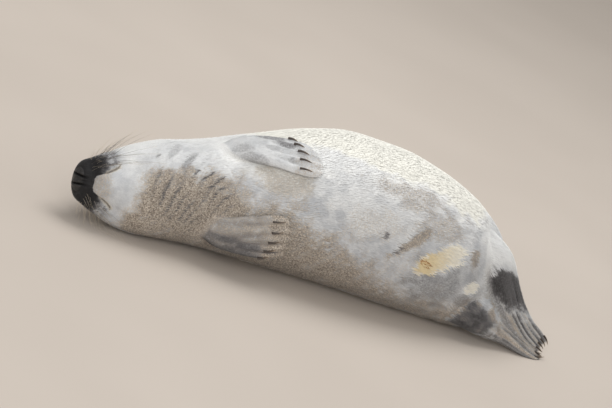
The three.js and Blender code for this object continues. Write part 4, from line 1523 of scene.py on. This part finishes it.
def eyes():
    """Each eye is a ball with a low clear swelling before the iris, and a rim of lid as a
    thin tube carried round the almond of its opening."""
    finish, rim_finish = eye_finish(), lid_finish()
    rows = np.concatenate([np.linspace(0.01, 0.9, 34), np.linspace(0.95, np.pi - 0.02, 26)])
    for side, name in ((1, "left"), (-1, "right")):
        ahead, up, out = eye_axes(side)
        centre = eye_centre(side)
        polar, turned = rings(rows, 72)
        radius = EYEBALL - 0.15 + 1.1 * smooth(0.62, 0.2, polar)
        aim = (
            out * np.cos(polar)[..., None] + ahead * (np.sin(polar) * np.cos(turned))[..., None]
            + up * (np.sin(polar) * np.sin(turned))[..., None]
        )
        at = centre + aim * radius[..., None]
        if side > 0:
            at, polar, turned = at[:, ::-1], polar[:, ::-1], turned[:, ::-1]
        disc = np.stack([polar, turned / (2 * np.pi), 0 * turned], -1).reshape(-1, 3)
        points, faces = closed_grid(at)
        ball = new_piece(name + "_eyeball", points, faces, finish, {"disc": disc})
        keep(ball, "eye", name + "_eye")
        turned, tube = rings(np.linspace(0, 2 * np.pi, LID_AROUND + 1)[:-1], LID_SIDES)
        x = EYE_LONG * (1 + EYE_CORNER * (np.cos(turned) > 0)) * np.cos(turned)
        y = EYE_TALL * np.sin(turned)
        thick = 1.15 + 0.25 * np.cos(turned) ** 2
        size = 1 + thick * np.cos(tube) / np.hypot(x, y)
        x, y = x * size, y * size
        height = np.sqrt(np.maximum((EYEBALL + 0.7) ** 2 - x ** 2 - y ** 2, 1)) + thick * np.sin(tube)
        at = centre + ahead * x[..., None] + up * y[..., None] + out * height[..., None]
        index = np.arange(LID_AROUND * LID_SIDES).reshape(LID_AROUND, LID_SIDES)
        beyond, beside = np.roll(index, -1, 0), np.roll(index, -1, 1)
        quads = np.stack([index, beside, np.roll(beyond, -1, 1), beyond], -1).reshape(-1, 4)
        if side < 0:
            quads = quads[:, ::-1]
        keep(new_piece(name + "_lid_rim", at.reshape(-1, 3), [quads], rim_finish), "nose_leather")


# How far claws' roots are sunk in the digits and lie off a hind flipper's mid-plane, and
# the least height of their roots.
CLAW_SUNK, HIND_OUT, CLAW_FLOOR = 0.6, 3.5, 6
CLAW_AROUND = 16


def claw_finish():
    """Horn: near black at the root and paler to the tip, with fine lines along it."""
    shader = Shader("claw_horn", rgb(58, 52, 48))
    along, turned, _, _ = shader.channels("horn")
    lines = shader.add("ShaderNodeTexNoise", {"noise_dimensions": "1D"}, {"W": turned * 40, "Detail": 2.0})
    worn = shader.noise(shader.place(), 420, 2)
    colour = shader.mix(along.step(0.25, 1.0), rgb(62, 54, 49), rgb(138, 118, 98))
    colour = shader.mix(lines.step(0.4, 0.75) * 0.5, colour, rgb(96, 82, 70))
    return shader.finish(Base_Color=colour, Roughness=0.34 + worn * 0.2,
                         Normal=shader.bump(lines, 0.0006, 0.45))


def face_at(limb, t, across):
    """How far a limb's broad face lies from its mid-plane on a digit: the section's
    superellipse, swollen there."""
    inward = np.abs(across) ** (1 / limb["fullness"])
    height = power(np.sqrt(1 - inward ** 2), limb["fullness"])
    return height * limb["thickness"](t) * (1 + 0.5 * limb["digits"])


def claw_roots(limb, k):
    """A claw's root, its direction, the way out of the skin, its length and its radius.
    Fore claws lie on the digits, and hind ones pass the tips."""
    across = np.array(DIGIT_PITCH * (2 - k))
    if "root" in limb:
        def on(t, lift):
            return fore_point(limb, np.array(t), across, face_at(limb, t, across) + lift)
        root = on(0.76, -CLAW_SUNK)
        return root, unit(on(0.95, CLAW_SUNK) - root), unit(on(0.76, 10) - root), 30 - 1.5 * k, 2.6
    face = HIND_OUT if limb["name"] == "left_hind" else -HIND_OUT
    root, ahead, outer = (
        blade_point(limb, np.array(t), across, np.array(out))
        for t, out in ((0.95, face), (1.0, face), (0.95, 4 * face))
    )
    outward, along = unit(outer - root), unit(ahead - root)
    root[2] = max(root[2], CLAW_FLOOR)
    return root, along, outward, 25, 2.4


def claws():
    """Five hooked horns to a flipper, each a cone carried along an arc that starts in its
    digit: the radius falls with a power of the length, and the section is a little deep."""
    finish = claw_finish()
    rows = np.concatenate([[0.0], np.linspace(0.02, 0.9, 16), [0.95, 0.985, 1.0]])
    for name, limb in limbs.items():
        if name == "tail":
            continue
        points, faces, horn = [], [], []
        for k in range(DIGITS):
            root, along, outward, long, radius = claw_roots(limb, k)
            side = unit(np.cross(outward, along))
            up = np.cross(along, side)
            t, turned = rings(rows, CLAW_AROUND)
            arch = long * 0.12 * (1 - (2 * t - 0.6) ** 2)
            thick = radius * (1 - 0.85 * t ** 1.4) * np.sqrt(np.minimum(1, (1.02 - t) / 0.06))
            thick = np.maximum(thick, 0.12)
            at = (
                root + along * (long * t)[..., None] + up * (arch + thick * np.sin(turned))[..., None]
                + side * (0.8 * thick * np.cos(turned))[..., None]
            )
            at[..., 2] = np.maximum(at[..., 2], FLOOR_CLAW)
            found, parts = closed_grid(at[:, ::-1])
            faces += [part + sum(map(len, points)) for part in parts]
            points.append(found)
            horn.append(np.stack([t, turned / 6.28 + k, 0 * t], -1)[:, ::-1].reshape(-1, 3))
        attributes = {"horn": np.concatenate(horn)}
        piece = new_piece(name + "_claws", np.concatenate(points), faces, finish, attributes)
        keep(piece, "claw_horn", *(name + "_claw_" + str(k + 1) for k in range(DIGITS)))


def whisker_finish():
    """Dark whisker bristle, paler and warmer towards the tip."""
    shader = Shader("whisker", rgb(60, 54, 50))
    along, tone, _, _ = shader.channels("bristle")
    dark = shader.mix(tone, rgb(40, 37, 36), rgb(188, 176, 158))
    colour = shader.mix(along.step(0.55, 1.0), dark, rgb(196, 180, 156))
    ripple = shader.noise(shader.place(), 700, 1)
    return shader.finish(Base_Color=colour, Roughness=0.36 + ripple * 0.12, Specular_IOR_Level=0.6)


BRISTLE_SIDES, BRISTLE_STEPS = 6, 14
# The bristles over each eye: distances from the nose, angles, and places in a row, which
# counts as the pad's last.
BROW_S, BROW_DEGREES, BROW_PLACES = [66, 69, 72, 70, 75], [52, 55, 58, 47, 50], [3, 4, 5, 3, 4]
BROW_ROW = 5
# The longest bristles' length, and how all of them bend backwards, upwards, to the back and
# to the belly's side, on the left and on the right.
LONGEST = {1: 70, -1: 46}
BENDS = {1: (0.45, -0.06, 0.05, 0), -1: (0.1, -0.32, 0, 0.2)}


def whiskers(finish, draw):
    """Bristles on the whisker pads and over the eyes: thin six-sided cones whose path
    starts along the skin's normal and backwards, and bends by the square of its length.
    Those on the left arch back over the head; those on the right sink to the floor."""
    s = np.concatenate([whisker_s, BROW_S])
    degrees = np.concatenate([whisker_degrees, BROW_DEGREES])
    place_in_row = np.concatenate([PLACES.ravel(), BROW_PLACES])
    row = np.concatenate([ROWS.ravel(), [BROW_ROW] * len(BROW_S)])
    for side, name in ((1, "left"), (-1, "right")):
        angle = np.radians(np.where(side > 0, degrees, 180 - degrees))
        root, normal = skin_point(s, angle, -1.5)
        _, belly_side, _, back = spine(s)
        backwards = np.cross(UP, belly_side)
        length = np.interp(place_in_row, [0, 5], [20, LONGEST[side]]) * draw.uniform(0.75, 1.15, len(s))
        lean_back = np.interp(place_in_row, [0, 4], [0.25, 1.15])[:, None]
        lean_back = lean_back + draw.uniform(-0.15, 0.15, (len(s), 1))
        start = unit(normal + backwards * lean_back + draw.normal(0, 0.07, (len(s), 3)))
        bend = sum(part * way for part, way in zip(BENDS[side], (backwards, UP, back, belly_side)))
        bend = bend + draw.normal(0, 0.06, (len(s), 3))
        t = np.linspace(0, 1, BRISTLE_STEPS)[:, None, None]
        path = root + (start * t + bend * t ** 2) * length[None, :, None]
        wave = np.sin(t[..., 0] * 16 + row) * t[..., 0] * (1 - t[..., 0]) * 0.8
        path = path + np.cross(start, normal)[None] * wave[..., None]
        path = clear_of_body(path)
        path[..., 2] = np.maximum(path[..., 2], FLOOR_WHISKER)
        forward = unit(np.gradient(path, axis=0))
        one = unit(np.cross(forward, UP + 0.01))
        two = np.cross(forward, one)
        radius = np.where(row >= BROW_ROW, 0.24, 0.29) * (1 - 0.7 * t[..., 0])
        turned = np.arange(BRISTLE_SIDES) / BRISTLE_SIDES * 2 * np.pi
        at = (
            path[:, :, None] + radius[..., None, None] * (
                one[:, :, None] * np.cos(turned)[:, None] + two[:, :, None] * np.sin(turned)[:, None]
            )
        ).transpose(1, 0, 2, 3)
        grid, first, last = ring_faces(BRISTLE_STEPS, BRISTLE_SIDES)
        starts = (np.arange(len(s)) * BRISTLE_STEPS * BRISTLE_SIDES)[:, None]
        quads = (starts[..., None] + grid[None]).reshape(-1, 4)
        caps = np.concatenate([starts + first, starts + last[::-1]])
        bristle = np.zeros((len(s), BRISTLE_STEPS, BRISTLE_SIDES, 3))
        bristle[..., 0] = t[None, :, 0, 0, None]
        # The upper rows' front bristles are pale; all the right side's are paler, a painted highlight.
        pale = 0.9 * ((place_in_row < 4) & (row > 2)) + 0.5 * (side < 0)
        bristle[..., 1] = np.clip(draw.uniform(0, 0.5, len(s)) + pale, 0, 1)[:, None, None]
        piece = new_piece(name + "_whiskers", at.reshape(-1, 3), [quads, caps], finish,
                          {"bristle": bristle.reshape(-1, 3)})
        keep(piece, "claw_horn")


# ------------------------------------------------------------------ floor, light and camera
FLOOR_REACH = 20000
# The strength of the sky, and lamps as (name, place, width, power).
SKY = 0.50
LAMPS = [("overhead", (0.5, 0.9, 3.2), 2.6, 70), ("belly_side", (-1.5, -3.0, 1.7), 2.4, 52)]


def studio():
    """A pale floor without an edge in view, broad soft lamps overhead and on the belly's
    side, and an even sky: together they light a surface as brightly as it is written."""
    shader = Shader("floor", rgb(214, 205, 197))
    grain = shader.noise(shader.place(), 2.5, 1)
    tone = shader.mix(grain.step(0.3, 0.7), rgb(194, 184, 174), rgb(197, 187, 177))
    floor_finish = shader.finish(Base_Color=tone, Roughness=0.9, Specular_IOR_Level=0.1)
    corners = np.array([(-1, -1, 0), (1, -1, 0), (1, 1, 0), (-1, 1, 0)], float) * FLOOR_REACH
    floor = new_piece("floor", corners - OFFSET, [np.array([[0, 1, 2, 3]])], floor_finish)
    world = bpy.data.worlds.new("sky")
    bpy.context.scene.world = world
    world.use_nodes = True
    world.node_tree.nodes["Background"].inputs["Color"].default_value = (1.0, 0.99, 0.97, 1)
    world.node_tree.nodes["Background"].inputs["Strength"].default_value = SKY
    for name, at, size, strength in LAMPS:
        lamp = bpy.data.lights.new(name, "AREA")
        lamp.shape, lamp.size, lamp.energy = "DISK", size, strength
        holder = bpy.data.objects.new(name, lamp)
        bpy.context.scene.collection.objects.link(holder)
        holder.location = at
        holder.rotation_euler = (Vector(at) - Vector((0, 0, 0.1))).to_track_quat("Z", "Y").to_euler()


# The camera looks towards a point in the animal, from so far and these degrees round it.
TARGET = np.array([-0.0087, -0.024, 0.140])
AZIMUTH, ELEVATION, HEAD_TILT, DISTANCE = -28, 17, 27, 6.5
LENS, SENSOR = 200, 36
# The object sits this far right of and below the middle of the view.
AIM_RIGHT, AIM_DOWN = 0.0459, 0.0153


def camera():
    """A long lens on the belly side, turned about its own axis, which shows the animal as
    if the level floor were a slope."""
    azimuth, elevation, tilt = np.radians([AZIMUTH, ELEVATION, HEAD_TILT])
    level = np.array([np.cos(azimuth), np.sin(azimuth), 0])
    towards = np.array([np.sin(azimuth), -np.cos(azimuth), 0])
    away = towards * np.cos(elevation) + UP * np.sin(elevation)
    upwards = np.cross(away, level)
    across = level * np.cos(tilt) + upwards * np.sin(tilt)
    up = -level * np.sin(tilt) + upwards * np.cos(tilt)
    eye = TARGET + DISTANCE * away
    away = unit(eye - (TARGET - across * AIM_RIGHT + up * AIM_DOWN))
    across = unit(np.cross(up, away))
    up = np.cross(away, across)
    lens = bpy.data.cameras.new("camera")
    lens.lens, lens.sensor_width = LENS, SENSOR
    holder = bpy.data.objects.new("camera", lens)
    bpy.context.scene.collection.objects.link(holder)
    turned = np.eye(4)
    turned[:3] = np.stack([across, up, away, eye], 1)
    holder.matrix_world = Matrix(turned.tolist())
    bpy.context.scene.camera = holder


FLESH = [
    "head", "lower_jaw", "neck", "chest", "belly", "rump", "tail",
    "left_fore_flipper", "right_fore_flipper", "left_hind_flipper", "right_hind_flipper",
]


def keep(piece, slot, *nodes):
    """Makes a piece ride with the body and stand for nodes, which it hides. The slot is not used."""
    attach(piece, "root")
    if nodes:
        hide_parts(*nodes)
    return piece


draw = np.random.default_rng(SEED)
camera()
studio()
bpy.context.scene.view_settings.view_transform = "Standard"
keep(join_skin(skin_material()), "silver_coat", *FLESH)
fur = coat_material()
body_coat(fur, draw)
limb_coats(fur, draw)
nose_pad()
eyes()
claws()
whiskers(whisker_finish(), draw)
